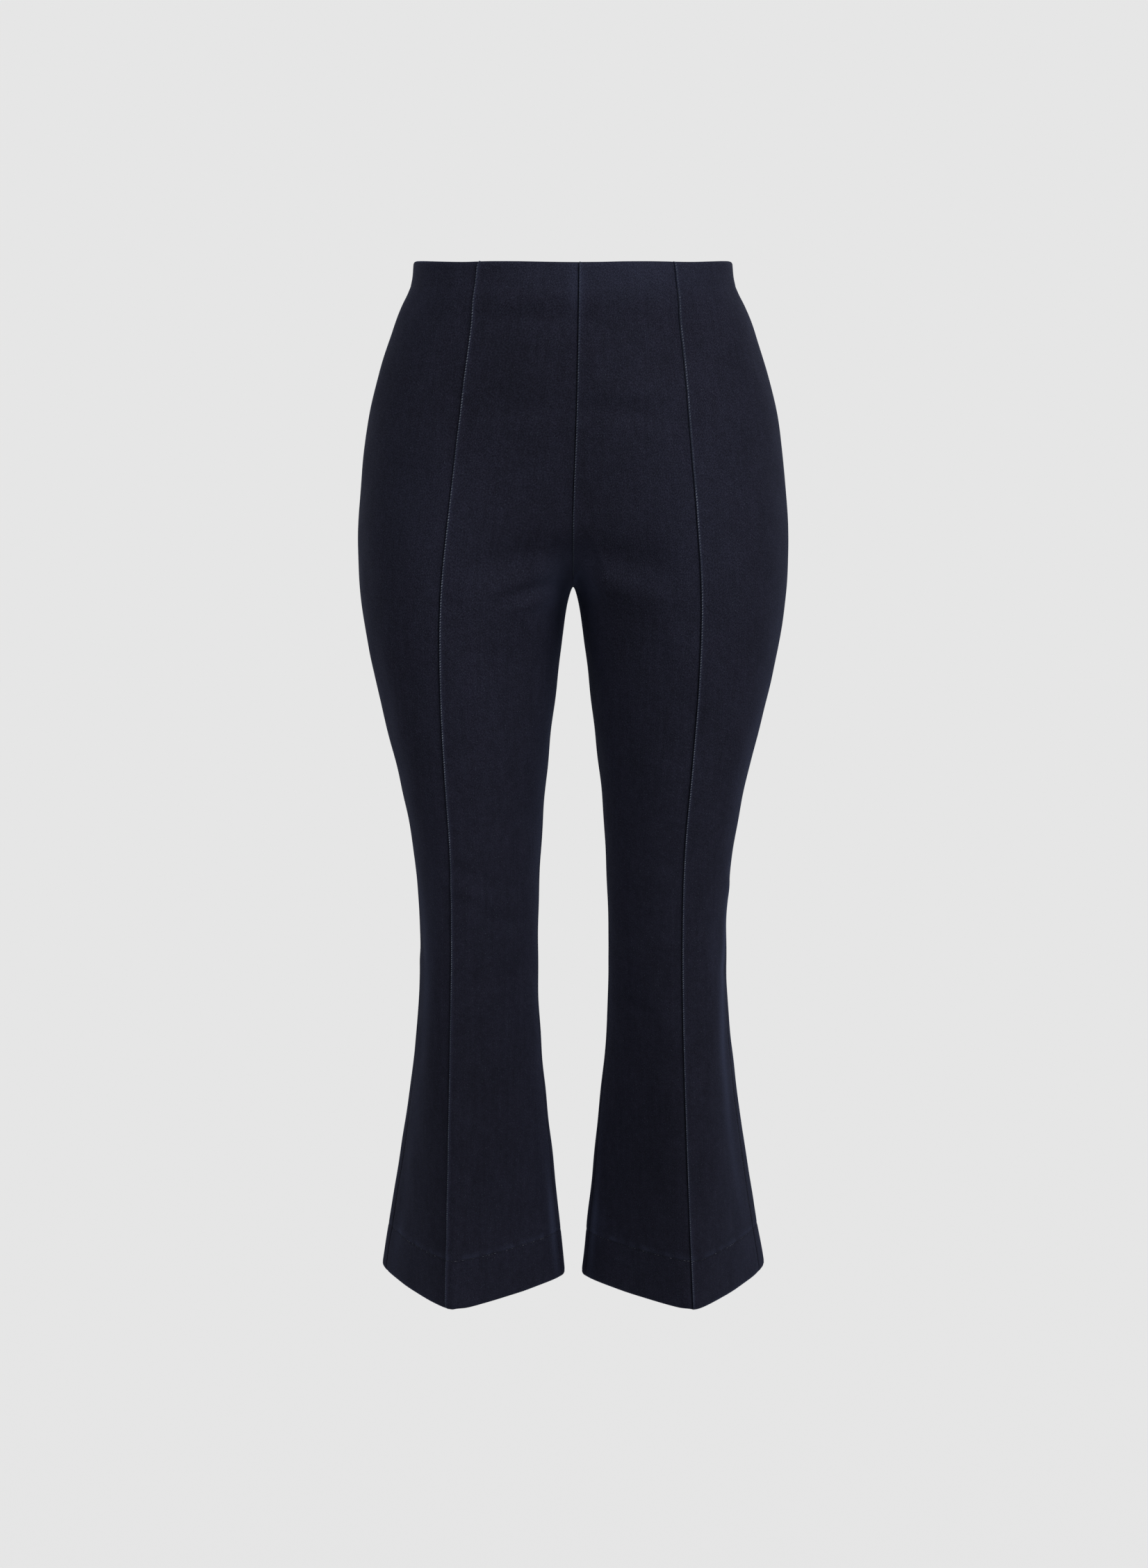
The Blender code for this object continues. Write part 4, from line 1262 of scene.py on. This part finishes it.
def new_piece(name, points, faces, material, layers, on_cloth=None):
    """A mesh object from arrays, with smooth faces, its layers and its material."""
    mesh = bpy.data.meshes.new(name)
    mesh.from_pydata(points.tolist(), [], faces)
    for layer, values in layers.items():
        attribute = mesh.attributes.new(layer, "FLOAT", "POINT")
        attribute.data.foreach_set("value", np.asarray(values, np.float32))
    if on_cloth is not None:
        corners = np.empty(len(mesh.loops), np.int32)
        mesh.loops.foreach_get("vertex_index", corners)
        flat = mesh.uv_layers.new(name="cloth")
        flat.data.foreach_set("uv", on_cloth[corners].astype(np.float32).ravel())
    mesh.polygons.foreach_set("use_smooth", np.ones(len(mesh.polygons), bool))
    mesh.materials.append(material)
    mesh.update()
    if mesh.validate():
        raise RuntimeError(f"{name} has faces that can't be built")
    piece = bpy.data.objects.new(name, mesh)
    bpy.context.scene.collection.objects.link(piece)
    return piece


def sew_piece(context, name):
    """One cut piece: its outer face, its inner face and the edge between them."""
    parts = cut_points(context.scene.jeans_cloth, name)
    there, side = parts["there"], PIECES[name][0]
    outside = quads(numbered(there), side)
    count = len(parts["outer"])
    edges = np.concatenate([outside[:, (k, (k + 1) % 4)] for k in range(4)])
    codes = edges[:, 0] * count + edges[:, 1]
    rim = edges[~np.isin(codes, edges[:, 1] * count + edges[:, 0])]
    rim = np.stack((rim[:, 1], rim[:, 0], rim[:, 0] + count, rim[:, 1] + count), axis=1)
    faces = np.concatenate((outside, outside[:, ::-1] + count, rim))
    points = np.concatenate((parts["outer"], parts["inner"]))
    layers = {layer: parts[layer] for layer in ("wear", "deep", "inside")}
    on_cloth = np.concatenate((parts["on_cloth"], parts["on_cloth"]))
    material = denim_material(context.scene.jeans_denim)
    piece = new_piece(f"{name}_cloth", points, faces.tolist(), material, layers, on_cloth)
    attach(piece, "root")
    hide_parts(name)
    return piece


def strand_shape():
    """A strand as rings of points, one half long, and its faces."""
    points, faces = [], []
    for run, round_it in STRAND_RINGS[1:-1]:
        for k in range(STRAND_SIDES):
            turn = 2 * math.pi * k / STRAND_SIDES
            points.append((run, math.cos(turn) * round_it, math.sin(turn) * round_it))
    rings = len(STRAND_RINGS) - 2
    for ring in range(rings - 1):
        for k in range(STRAND_SIDES):
            a, b = ring * STRAND_SIDES + k, ring * STRAND_SIDES + (k + 1) % STRAND_SIDES
            faces.append((a, b, b + STRAND_SIDES, a + STRAND_SIDES))
    tips = (len(points), len(points) + 1)
    points += [(-1.0, 0.0, 0.0), (1.0, 0.0, 0.0)]
    last = (rings - 1) * STRAND_SIDES
    for k in range(STRAND_SIDES):
        after = (k + 1) % STRAND_SIDES
        faces.append((after, k, tips[0]))
        faces.append((last + k, last + after, tips[1]))
    return np.array(points), faces


def lay_strands(name, spots, ways, ups, sizes, lights, material):
    """Many strands as one mesh: each at a spot, along a way, with its size and lightness."""
    shape, shape_faces = strand_shape()
    across = unit(np.cross(ups, ways))
    ups = unit(np.cross(ways, across))
    local = shape[None] * sizes[:, None]
    points = spots[:, None] + local[..., :1] * ways[:, None]
    points = points + local[..., 1:2] * across[:, None] + local[..., 2:] * ups[:, None]
    faces = [
        [corner + i * len(shape) for corner in face]
        for i in range(len(spots)) for face in shape_faces
    ]
    layers = {"light": np.repeat(lights, len(shape))}
    piece = new_piece(name, points.reshape(-1, 3), faces, material, layers)
    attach(piece, "root")
    return piece


def crest_line(cloth, name):
    """The top of a piece's pinched edge: its points and the ways out, from the waist down."""
    parts = cut_points(cloth, name)
    grid = numbered(parts["there"])
    *_, pinched = PIECES[name]
    fork = made["skin"]["fork"]
    rows = grid[:fork] if pinched == "centre" else grid
    place = -1 - CREST if pinched == "end" else CREST
    corners = [row[row >= 0][place] for row in rows]
    if pinched == "centre":
        corners += list(grid[fork + CREST_ROW, :len(PLACES["fork_front"])][::-1])
        corners = [c for c in corners if parts["outer"][c, 2] > -CENTRE_END]
    return parts["outer"][corners], parts["normals"][corners]


def worn_edge(context, name, node, kind):
    """The rope of slanting worn strands along one pinched edge."""
    cloth, thread = context.scene.jeans_cloth, context.scene.jeans_thread
    chance = np.random.default_rng(STRAND_SEED + len(name))
    crest, outward = crest_line(cloth, node)
    whole = along(crest)[-1]
    spots, lights, pitches = [], [], []
    place, swell = STRAND_MARGIN, SWELL_START
    while place < whole - STRAND_MARGIN:
        pitch = read(STRAND_LINE, "pitch", place)
        spots.append(place)
        pitches.append(pitch)
        swell = min(max(swell + chance.normal() * SWELL_STEP, 0.0), 1.0)
        light = read(STRAND_LINE, kind, place)
        swollen = SWELL_LEAST + (1 - SWELL_LEAST) * swell
        lights.append(light * swollen * chance.uniform(*STRAND_LIGHTS))
        place += pitch * chance.uniform(*STRAND_SPACING)
    spots, pitches = np.array(spots), np.array(pitches)
    ups = unit(at(crest, spots, outward))
    downward = ways_along(crest, spots)
    rightward = unit(np.cross(-downward, ups))
    slant = thread.strand_slant
    ways = unit(-downward * math.cos(slant) + rightward * math.sin(slant))
    widths = np.array([read(STRAND_LINE, "width", place) for place in spots])
    width = widths / 2 * thread.strand_width * chance.uniform(*STRAND_WIDTHS, len(spots))
    half = np.stack((pitches * STRAND_LENGTH, width, width * STRAND_FLAT), axis=1)
    material = strand_material("worn_edge", thread.strand_dark, thread.strand_light)
    return lay_strands(name, at(crest, spots), ways, ups, half, np.array(lights), material)


def sew_stitches(thread, name, spots, ways, ups, half, lights):
    """Stitches of one size in the jeans' thread."""
    material = strand_material("hem_thread", thread.stitch_dark, thread.stitch_light)
    return lay_strands(name, spots, ways, ups, np.tile(half, (len(spots), 1)), lights, material)


def hem_stitching(context, name, nodes):
    """The run of stitches that holds one leg's turned-up hem."""
    cloth, thread = context.scene.jeans_cloth, context.scene.jeans_thread
    chance = np.random.default_rng(STRAND_SEED + len(name))
    hem_row = int(np.argmin(np.abs(made["skin"]["downs"] - (LENGTH - cloth.hem_fold))))
    runs = []
    for node in nodes:
        parts = cut_points(cloth, node)
        corners = numbered(parts["there"])[hem_row]
        line = parts["outer"][corners]
        whole = along(line)[-1]
        count = max(2, round((whole - HEM_ENDS) / thread.stitch_pitch))
        places = np.linspace(HEM_START, whole - HEM_START, count)
        ups = unit(at(line, places, parts["normals"][corners]))
        runs.append((at(line, places), ways_along(line, places), ups))
    spots, ways, ups = (np.vstack(parts) for parts in zip(*runs))
    half = (thread.stitch_pitch * HEM_STITCH_LENGTH, thread.stitch_width / 2,
            thread.stitch_width / 2)
    lights = chance.uniform(0.0, 1.0, len(spots)) ** HEM_DARK
    return sew_stitches(thread, name, spots, ways, ups, half, lights)


def seam_stitching(context, node):
    """The small stitches that show in the groove of one outside seam."""
    thread = context.scene.jeans_thread
    chance = np.random.default_rng(STRAND_SEED + len(node))
    parts = cut_points(context.scene.jeans_cloth, node)
    downs = made["skin"]["downs"]
    corners = numbered(parts["there"])[(downs > STITCHED[0]) & (downs < STITCHED[1]), -1]
    line = parts["outer"][corners]
    places = np.arange(STITCH_MARGIN, along(line)[-1] - STITCH_MARGIN, STITCH_STEP)
    ups = unit(at(line, places, parts["normals"][corners]))
    spots = at(line, places) + ups * STITCH_RISE
    least, more = STITCH_LIGHTS
    lights = least + more * chance.uniform(0.0, 1.0, len(spots)) ** 2
    name = node.replace("front_side", "seam_stitches")
    return sew_stitches(thread, name, spots, ways_along(line, places), ups, STITCH_HALF, lights)


def add_node(tree, kind, sockets=None, **settings):
    """A shader node with its settings, and its sockets set or linked."""
    node = tree.nodes.new(kind)
    for setting, value in settings.items():
        setattr(node, setting, value)
    for name, value in (sockets or {}).items():
        if isinstance(value, bpy.types.NodeSocket):
            tree.links.new(value, node.inputs[name])
        else:
            node.inputs[name].default_value = value
    return node


def maths(tree, operation, *values):
    """The result of a Math node on sockets or plain numbers."""
    node = add_node(tree, "ShaderNodeMath", dict(enumerate(values)), operation=operation)
    return node.outputs[0]


def noise(tree, places, scale, detail=2.0, **settings):
    """The values of a Noise Texture at some places."""
    sockets = {"Vector": places, "Scale": scale, "Detail": detail}
    return add_node(tree, "ShaderNodeTexNoise", sockets, **settings).outputs["Fac"]


def mix_colours(tree, share, start, end):
    """A colour between two others, which may be sockets or plain colours."""
    node = add_node(tree, "ShaderNodeMix", data_type="RGBA")
    for place, value in (("Factor", share), (MIX_START, start), (MIX_END, end)):
        socket = node.inputs[place]
        if isinstance(value, bpy.types.NodeSocket):
            tree.links.new(value, socket)
        elif socket.type == "RGBA":
            socket.default_value = (*value[:3], 1.0)
        else:
            socket.default_value = value
    return node.outputs[MIX_RESULT]


def new_group(name, vectors, numbers, results):
    """An empty shader node group with named sockets, and its input and output nodes."""
    group = bpy.data.node_groups.new(name, "ShaderNodeTree")
    sockets = [(vector, "INPUT", "NodeSocketVector") for vector in vectors]
    sockets += [(number, "INPUT", "NodeSocketFloat") for number in numbers]
    sockets += [(result, "OUTPUT", "NodeSocketFloat") for result in results]
    for socket, in_out, kind in sockets:
        group.interface.new_socket(socket, in_out=in_out, socket_type=kind)
    return group, group.nodes.new("NodeGroupInput"), group.nodes.new("NodeGroupOutput")


def contrast(tree, value, strength, middle=1.0):
    """A noise value spread about a middle by a strength."""
    return maths(tree, "MULTIPLY_ADD", value, strength, middle - strength / 2)


def twill_group():
    """Right-hand twill on the flat cloth: its ribs, its light flecks and its relief."""
    name = "Twill weave"
    if name in bpy.data.node_groups:
        return bpy.data.node_groups[name]
    group, start, end = new_group(
        name, ("Cloth",), ("Rib pitch", "Crispness"), ("Rib", "Flecks", "Height"))
    work = partial(maths, group)
    cloth = start.outputs["Cloth"]
    flat = add_node(group, "ShaderNodeSeparateXYZ", {0: cloth}).outputs
    right, down = flat["X"], flat["Y"]
    lean, rise = TWILL_LEAN
    across = work("MULTIPLY_ADD", right, lean, work("MULTIPLY", down, rise))
    length = work("MULTIPLY_ADD", right, rise, work("MULTIPLY", down, -lean))
    uneven = noise(group, cloth, STRAY_SCALE, noise_dimensions="2D")
    over = work("DIVIDE", across, start.outputs["Rib pitch"])
    over = work("ADD", over, work("MULTIPLY", uneven, RIB_STRAY))
    wave = work("SINE", work("MULTIPLY", over, 2 * math.pi))
    yarns = add_node(group, "ShaderNodeCombineXYZ",
                     {"X": across, "Y": work("MULTIPLY", length, SLUB_STRETCH)})
    slubs = noise(group, yarns.outputs[0], SLUB_SCALE, noise_dimensions="2D")
    rib = work("MULTIPLY_ADD", wave, RIB_DEPTH, contrast(group, slubs, SLUB_CONTRAST, 0.0))
    rib = work("MULTIPLY_ADD", rib, start.outputs["Crispness"], RIB_MIDDLE)
    cells = add_node(group, "ShaderNodeTexVoronoi", {"Vector": cloth, "Scale": FLECK_SCALE},
                     voronoi_dimensions="2D")
    near = work("MULTIPLY_ADD", cells.outputs["Distance"], -FLECK_SMALL, 1.0)
    chance = add_node(group, "ShaderNodeSeparateColor", {0: cells.outputs["Color"]})
    some = work("MULTIPLY_ADD", chance.outputs[0], *FLECK_CHANCE)
    flecks = work("MULTIPLY", work("MAXIMUM", near, 0.0), work("MAXIMUM", some, 0.0))
    group.links.new(work("MAXIMUM", rib, 0.0), end.inputs["Rib"])
    group.links.new(flecks, end.inputs["Flecks"])
    group.links.new(work("MULTIPLY_ADD", wave, RIB_RELIEF, slubs), end.inputs["Height"])
    return group


def dye_group():
    """Uneven dye: soft clouds, and streaks that run down the cloth."""
    name = "Uneven dye"
    if name in bpy.data.node_groups:
        return bpy.data.node_groups[name]
    group, start, end = new_group(name, ("Place", "Cloth"), (), ("Shade",))
    place = start.outputs["Place"]
    clouds = noise(group, place, CLOUD_SCALE, detail=CLOUD_DETAIL)
    clouds.node.inputs["Roughness"].default_value = CLOUD_ROUGHNESS
    spots = noise(group, place, SPOT_SCALE)
    stretched = add_node(group, "ShaderNodeMapping",
                         {"Vector": start.outputs["Cloth"], "Scale": STREAK_STRETCH})
    streaks = noise(group, stretched.outputs[0], STREAK_SCALE, noise_dimensions="2D")
    shade = contrast(group, clouds, CLOUD_CONTRAST)
    for pattern, strength in ((spots, SPOT_CONTRAST), (streaks, STREAK_CONTRAST)):
        shade = maths(group, "MULTIPLY", shade, contrast(group, pattern, strength))
    group.links.new(shade, end.inputs["Shade"])
    return group


def layer_value(tree, name):
    """A value that the mesh itself holds."""
    return add_node(tree, "ShaderNodeAttribute", attribute_name=name).outputs["Fac"]


def new_material(name):
    """A material with its Principled shader."""
    material = bpy.data.materials.new(name)
    material.use_nodes = True
    return material, material.node_tree, material.node_tree.nodes["Principled BSDF"]


def add_bump(tree, shader, height, strength, distance):
    """Fine relief on a shader."""
    bump = add_node(tree, "ShaderNodeBump",
                    {"Height": height, "Strength": strength, "Distance": distance})
    tree.links.new(bump.outputs["Normal"], shader.inputs["Normal"])


def scaled(tree, colour, share):
    """A colour made lighter or darker by a share."""
    node = add_node(tree, "ShaderNodeVectorMath", {0: colour, "Scale": share},
                    operation="SCALE")
    return node.outputs[0]


def set_finish(shader, finish):
    """The plain values of a shader's sockets."""
    for socket, value in finish.items():
        shader.inputs[socket].default_value = value


def denim_material(denim):
    """Dark stretch denim: twill, flecks, uneven dye, rubbed edges, painted light and shade, and
    an undyed inside.
    """
    name = "stretch_denim"
    if name in bpy.data.materials:
        return bpy.data.materials[name]
    material, tree, shader = new_material(name)
    cloth = add_node(tree, "ShaderNodeUVMap", uv_map="cloth").outputs["UV"]
    place = add_node(tree, "ShaderNodeTexCoord").outputs["Object"]
    height = add_node(tree, "ShaderNodeSeparateXYZ", {0: place}).outputs["Z"]
    low, high = CRISP_HEIGHTS
    crisp = add_node(tree, "ShaderNodeMapRange",
                     {"Value": height, "From Min": low, "From Max": high,
                      "To Min": denim.crisp_low, "To Max": 1.0}).outputs[0]
    twill = add_node(tree, "ShaderNodeGroup", node_tree=twill_group())
    dye = add_node(tree, "ShaderNodeGroup", node_tree=dye_group())
    for group, socket, value in ((twill, "Cloth", cloth), (twill, "Crispness", crisp),
                                 (dye, "Place", place), (dye, "Cloth", cloth)):
        tree.links.new(value, group.inputs[socket])
    twill.inputs["Rib pitch"].default_value = denim.rib
    wear, deep, inside = (layer_value(tree, layer) for layer in ("wear", "deep", "inside"))

    rib = twill.outputs["Rib"]
    colour = mix_colours(tree, rib, denim.indigo, denim.weft)
    colour = scaled(tree, colour, dye.outputs["Shade"])
    colour = mix_colours(tree, twill.outputs["Flecks"], colour, denim.fleck)
    # The cloth turns towards the worn colour where it is worn and where light is painted
    rubbed = maths(tree, "MULTIPLY", wear, maths(tree, "MULTIPLY_ADD", rib, *RUB_SHARE))
    colour = mix_colours(tree, rubbed, colour, denim.worn)
    # The painted shade darkens the colour
    colour = scaled(tree, colour, maths(tree, "MULTIPLY_ADD", deep, -PAINTED_SHADE_SHARE, 1.0))
    colour = mix_colours(tree, inside, colour, denim.wrong_side)
    tree.links.new(colour, shader.inputs["Base Color"])
    add_bump(tree, shader, twill.outputs["Height"], *DENIM_RELIEF)
    set_finish(shader, {"Roughness": denim.roughness, "Specular IOR Level": denim.gloss,
                        "Sheen Weight": denim.sheen, "Sheen Roughness": SHEEN_ROUGHNESS,
                        "Sheen Tint": SHEEN_TINT})
    return material


def strand_material(name, dark, light):
    """Spun yarn whose lightness is held by the mesh."""
    if name in bpy.data.materials:
        return bpy.data.materials[name]
    material, tree, shader = new_material(name)
    place = add_node(tree, "ShaderNodeTexCoord").outputs["Object"]
    fibres = noise(tree, place, FIBRE_SCALE)
    uneven = maths(tree, "MULTIPLY_ADD", fibres, *FIBRE_SHARE)
    share = maths(tree, "MULTIPLY", layer_value(tree, "light"), uneven)
    tree.links.new(mix_colours(tree, share, dark, light), shader.inputs["Base Color"])
    add_bump(tree, shader, fibres, *YARN_RELIEF)
    set_finish(shader, YARN_FINISH)
    return material


def make_floor(studio):
    """The plain pale floor."""
    bpy.ops.mesh.primitive_circle_add(
        vertices=FLOOR_CORNERS, radius=studio.floor_reach, fill_type="NGON",
        location=(0.0, 0.0, -studio.floor_down))
    floor = bpy.context.object
    floor.name = FLOOR
    bpy.ops.object.transform_apply(location=True)
    floor.visible_diffuse = False
    floor.visible_glossy = False
    material, _, shader = new_material("pale_floor")
    pale = (*studio.pale, 1.0)
    set_finish(shader, {"Base Color": pale, "Roughness": 1.0, "Specular IOR Level": 0.0,
                        "Emission Color": pale,
                        "Emission Strength": 1 - studio.pale[0] * studio.ambient})
    floor.data.materials.append(material)


def make_lights(studio):
    """Even light from all round, and the soft lights, which reach the jeans alone."""
    scene = bpy.context.scene
    world = bpy.data.worlds.new("pale_room")
    world.use_nodes = True
    scene.world = world
    tree = world.node_tree
    around = tree.nodes["Background"]
    around.inputs["Color"].default_value = (*studio.pale, 1.0)
    around.inputs["Strength"].default_value = studio.ambient
    seen = add_node(tree, "ShaderNodeBackground", {"Color": (*studio.pale, 1.0)})
    by_eye = add_node(tree, "ShaderNodeLightPath").outputs["Is Camera Ray"]
    both = add_node(tree, "ShaderNodeMixShader",
                    {0: by_eye, 1: around.outputs[0], 2: seen.outputs[0]})
    tree.links.new(both.outputs[0], tree.nodes["World Output"].inputs["Surface"])
    lit = bpy.data.collections.new("lit_by_the_lamps")
    for thing in scene.objects:
        if thing.type == "MESH" and thing.name != FLOOR:
            lit.objects.link(thing)
    for name, power, place, size in LAMPS:
        bpy.ops.object.light_add(type="AREA", location=place)
        lamp = bpy.context.object
        lamp.name = name
        lamp.data.energy = getattr(studio, power)
        lamp.data.size = size
        aim = Vector((0.0, 0.0, -LENGTH / 2)) - lamp.location
        lamp.rotation_euler = aim.to_track_quat("-Z", "Y").to_euler()
        lamp.light_linking.receiver_collection = lit


def make_camera(studio):
    """The camera, a little below the waist and looking slightly down."""
    place = (studio.camera_across, -studio.camera_back, -studio.camera_down)
    bpy.ops.object.camera_add(location=place,
                              rotation=(math.pi / 2 - studio.camera_pitch, 0.0, 0.0))
    camera = bpy.context.object
    camera.name = "camera"
    camera.data.lens = studio.lens
    camera.data.sensor_width = SENSOR_WIDTH
    camera.data.clip_end = FARTHEST
    bpy.context.scene.camera = camera


class JEANS_OT_front_centres(bpy.types.Operator):
    """Makes the two inner front pieces, from the centre seam to the raised leg seams"""

    bl_idname = "jeans.front_centres"
    bl_label = "Front centres"

    def execute(self, context):
        """Makes both pieces."""
        for side in SIDE_NAMES:
            sew_piece(context, f"front_centre_{side}")
        return {"FINISHED"}


class JEANS_OT_front_sides(bpy.types.Operator):
    """Makes the two outer front pieces, from the raised leg seams to the outside seams"""

    bl_idname = "jeans.front_sides"
    bl_label = "Front sides"

    def execute(self, context):
        """Makes both pieces."""
        for side in SIDE_NAMES:
            sew_piece(context, f"front_side_{side}")
        return {"FINISHED"}


class JEANS_OT_backs(bpy.types.Operator):
    """Makes the two back pieces, one for each leg"""

    bl_idname = "jeans.backs"
    bl_label = "Backs"

    def execute(self, context):
        """Makes both pieces."""
        for side in SIDE_NAMES:
            sew_piece(context, f"back_{side}")
        return {"FINISHED"}


class JEANS_OT_worn_edges(bpy.types.Operator):
    """Lays the worn strands along the pinched edges of the three front seams"""

    bl_idname = "jeans.worn_edges"
    bl_label = "Worn edges"

    def execute(self, context):
        """Makes one mesh of strands for each raised seam."""
        for name, node, kind in RIDGES:
            worn_edge(context, name, node, kind)
        return {"FINISHED"}


class JEANS_OT_hem_stitches(bpy.types.Operator):
    """Sews the turned-up hem of each leg"""

    bl_idname = "jeans.hem_stitches"
    bl_label = "Hem stitches"

    def execute(self, context):
        """Makes one mesh of stitches for each leg."""
        for name, nodes in HEM_STITCHES:
            hem_stitching(context, name, nodes)
        return {"FINISHED"}


class JEANS_OT_seam_stitches(bpy.types.Operator):
    """Sews the stitches that show in the outside leg seams"""

    bl_idname = "jeans.seam_stitches"
    bl_label = "Seam stitches"

    def execute(self, context):
        """Makes one mesh of stitches for each leg."""
        for node in SEAM_STITCHES:
            seam_stitching(context, node)
        return {"FINISHED"}


class JEANS_OT_studio(bpy.types.Operator):
    """Makes the pale floor, the soft lights and the camera"""

    bl_idname = "jeans.studio"
    bl_label = "Studio"

    def execute(self, context):
        """Makes the floor, then what lights and sees it."""
        studio = context.scene.jeans_studio
        make_floor(studio)
        make_lights(studio)
        make_camera(studio)
        context.scene.view_settings.view_transform = "Standard"
        return {"FINISHED"}


OPERATORS = (
    JEANS_OT_front_centres,
    JEANS_OT_front_sides,
    JEANS_OT_backs,
    JEANS_OT_worn_edges,
    JEANS_OT_hem_stitches,
    JEANS_OT_seam_stitches,
    JEANS_OT_studio,
)


GROUPS = {
    "jeans_cloth": JeansCloth,
    "jeans_denim": JeansDenim,
    "jeans_thread": JeansThread,
    "jeans_studio": JeansStudio,
}


class JEANS_PT_panel(bpy.types.Panel):
    """The sidebar tab with the steps in their order"""

    bl_idname = "JEANS_PT_panel"
    bl_label = "Flared Jeans"
    bl_space_type = "VIEW_3D"
    bl_region_type = "UI"
    bl_category = "Jeans"

    def draw(self, context):
        """One button for each step, and the sizes and colours below them."""
        for operator in OPERATORS:
            self.layout.operator(operator.bl_idname)
        for name in GROUPS:
            group = getattr(context.scene, name)
            box = self.layout.box()
            for setting in group.__annotations__:
                box.prop(group, setting)


def register():
    """Adds the settings, the steps and their panel."""
    for part in (*GROUPS.values(), *OPERATORS, JEANS_PT_panel):
        bpy.utils.register_class(part)
    for name, group in GROUPS.items():
        setattr(bpy.types.Scene, name, bpy.props.PointerProperty(type=group))


def unregister():
    """Takes them away again."""
    for name in GROUPS:
        delattr(bpy.types.Scene, name)
    for part in reversed((*GROUPS.values(), *OPERATORS, JEANS_PT_panel)):
        bpy.utils.unregister_class(part)


def main():
    """Builds all the pieces and the studio."""
    register()
    bpy.ops.object.select_all(action="DESELECT")
    bpy.ops.jeans.front_centres()
    bpy.ops.jeans.front_sides()
    bpy.ops.jeans.backs()
    bpy.ops.jeans.worn_edges()
    bpy.ops.jeans.hem_stitches()
    bpy.ops.jeans.seam_stitches()
    bpy.ops.jeans.studio()


if __name__ == "__main__":
    main()
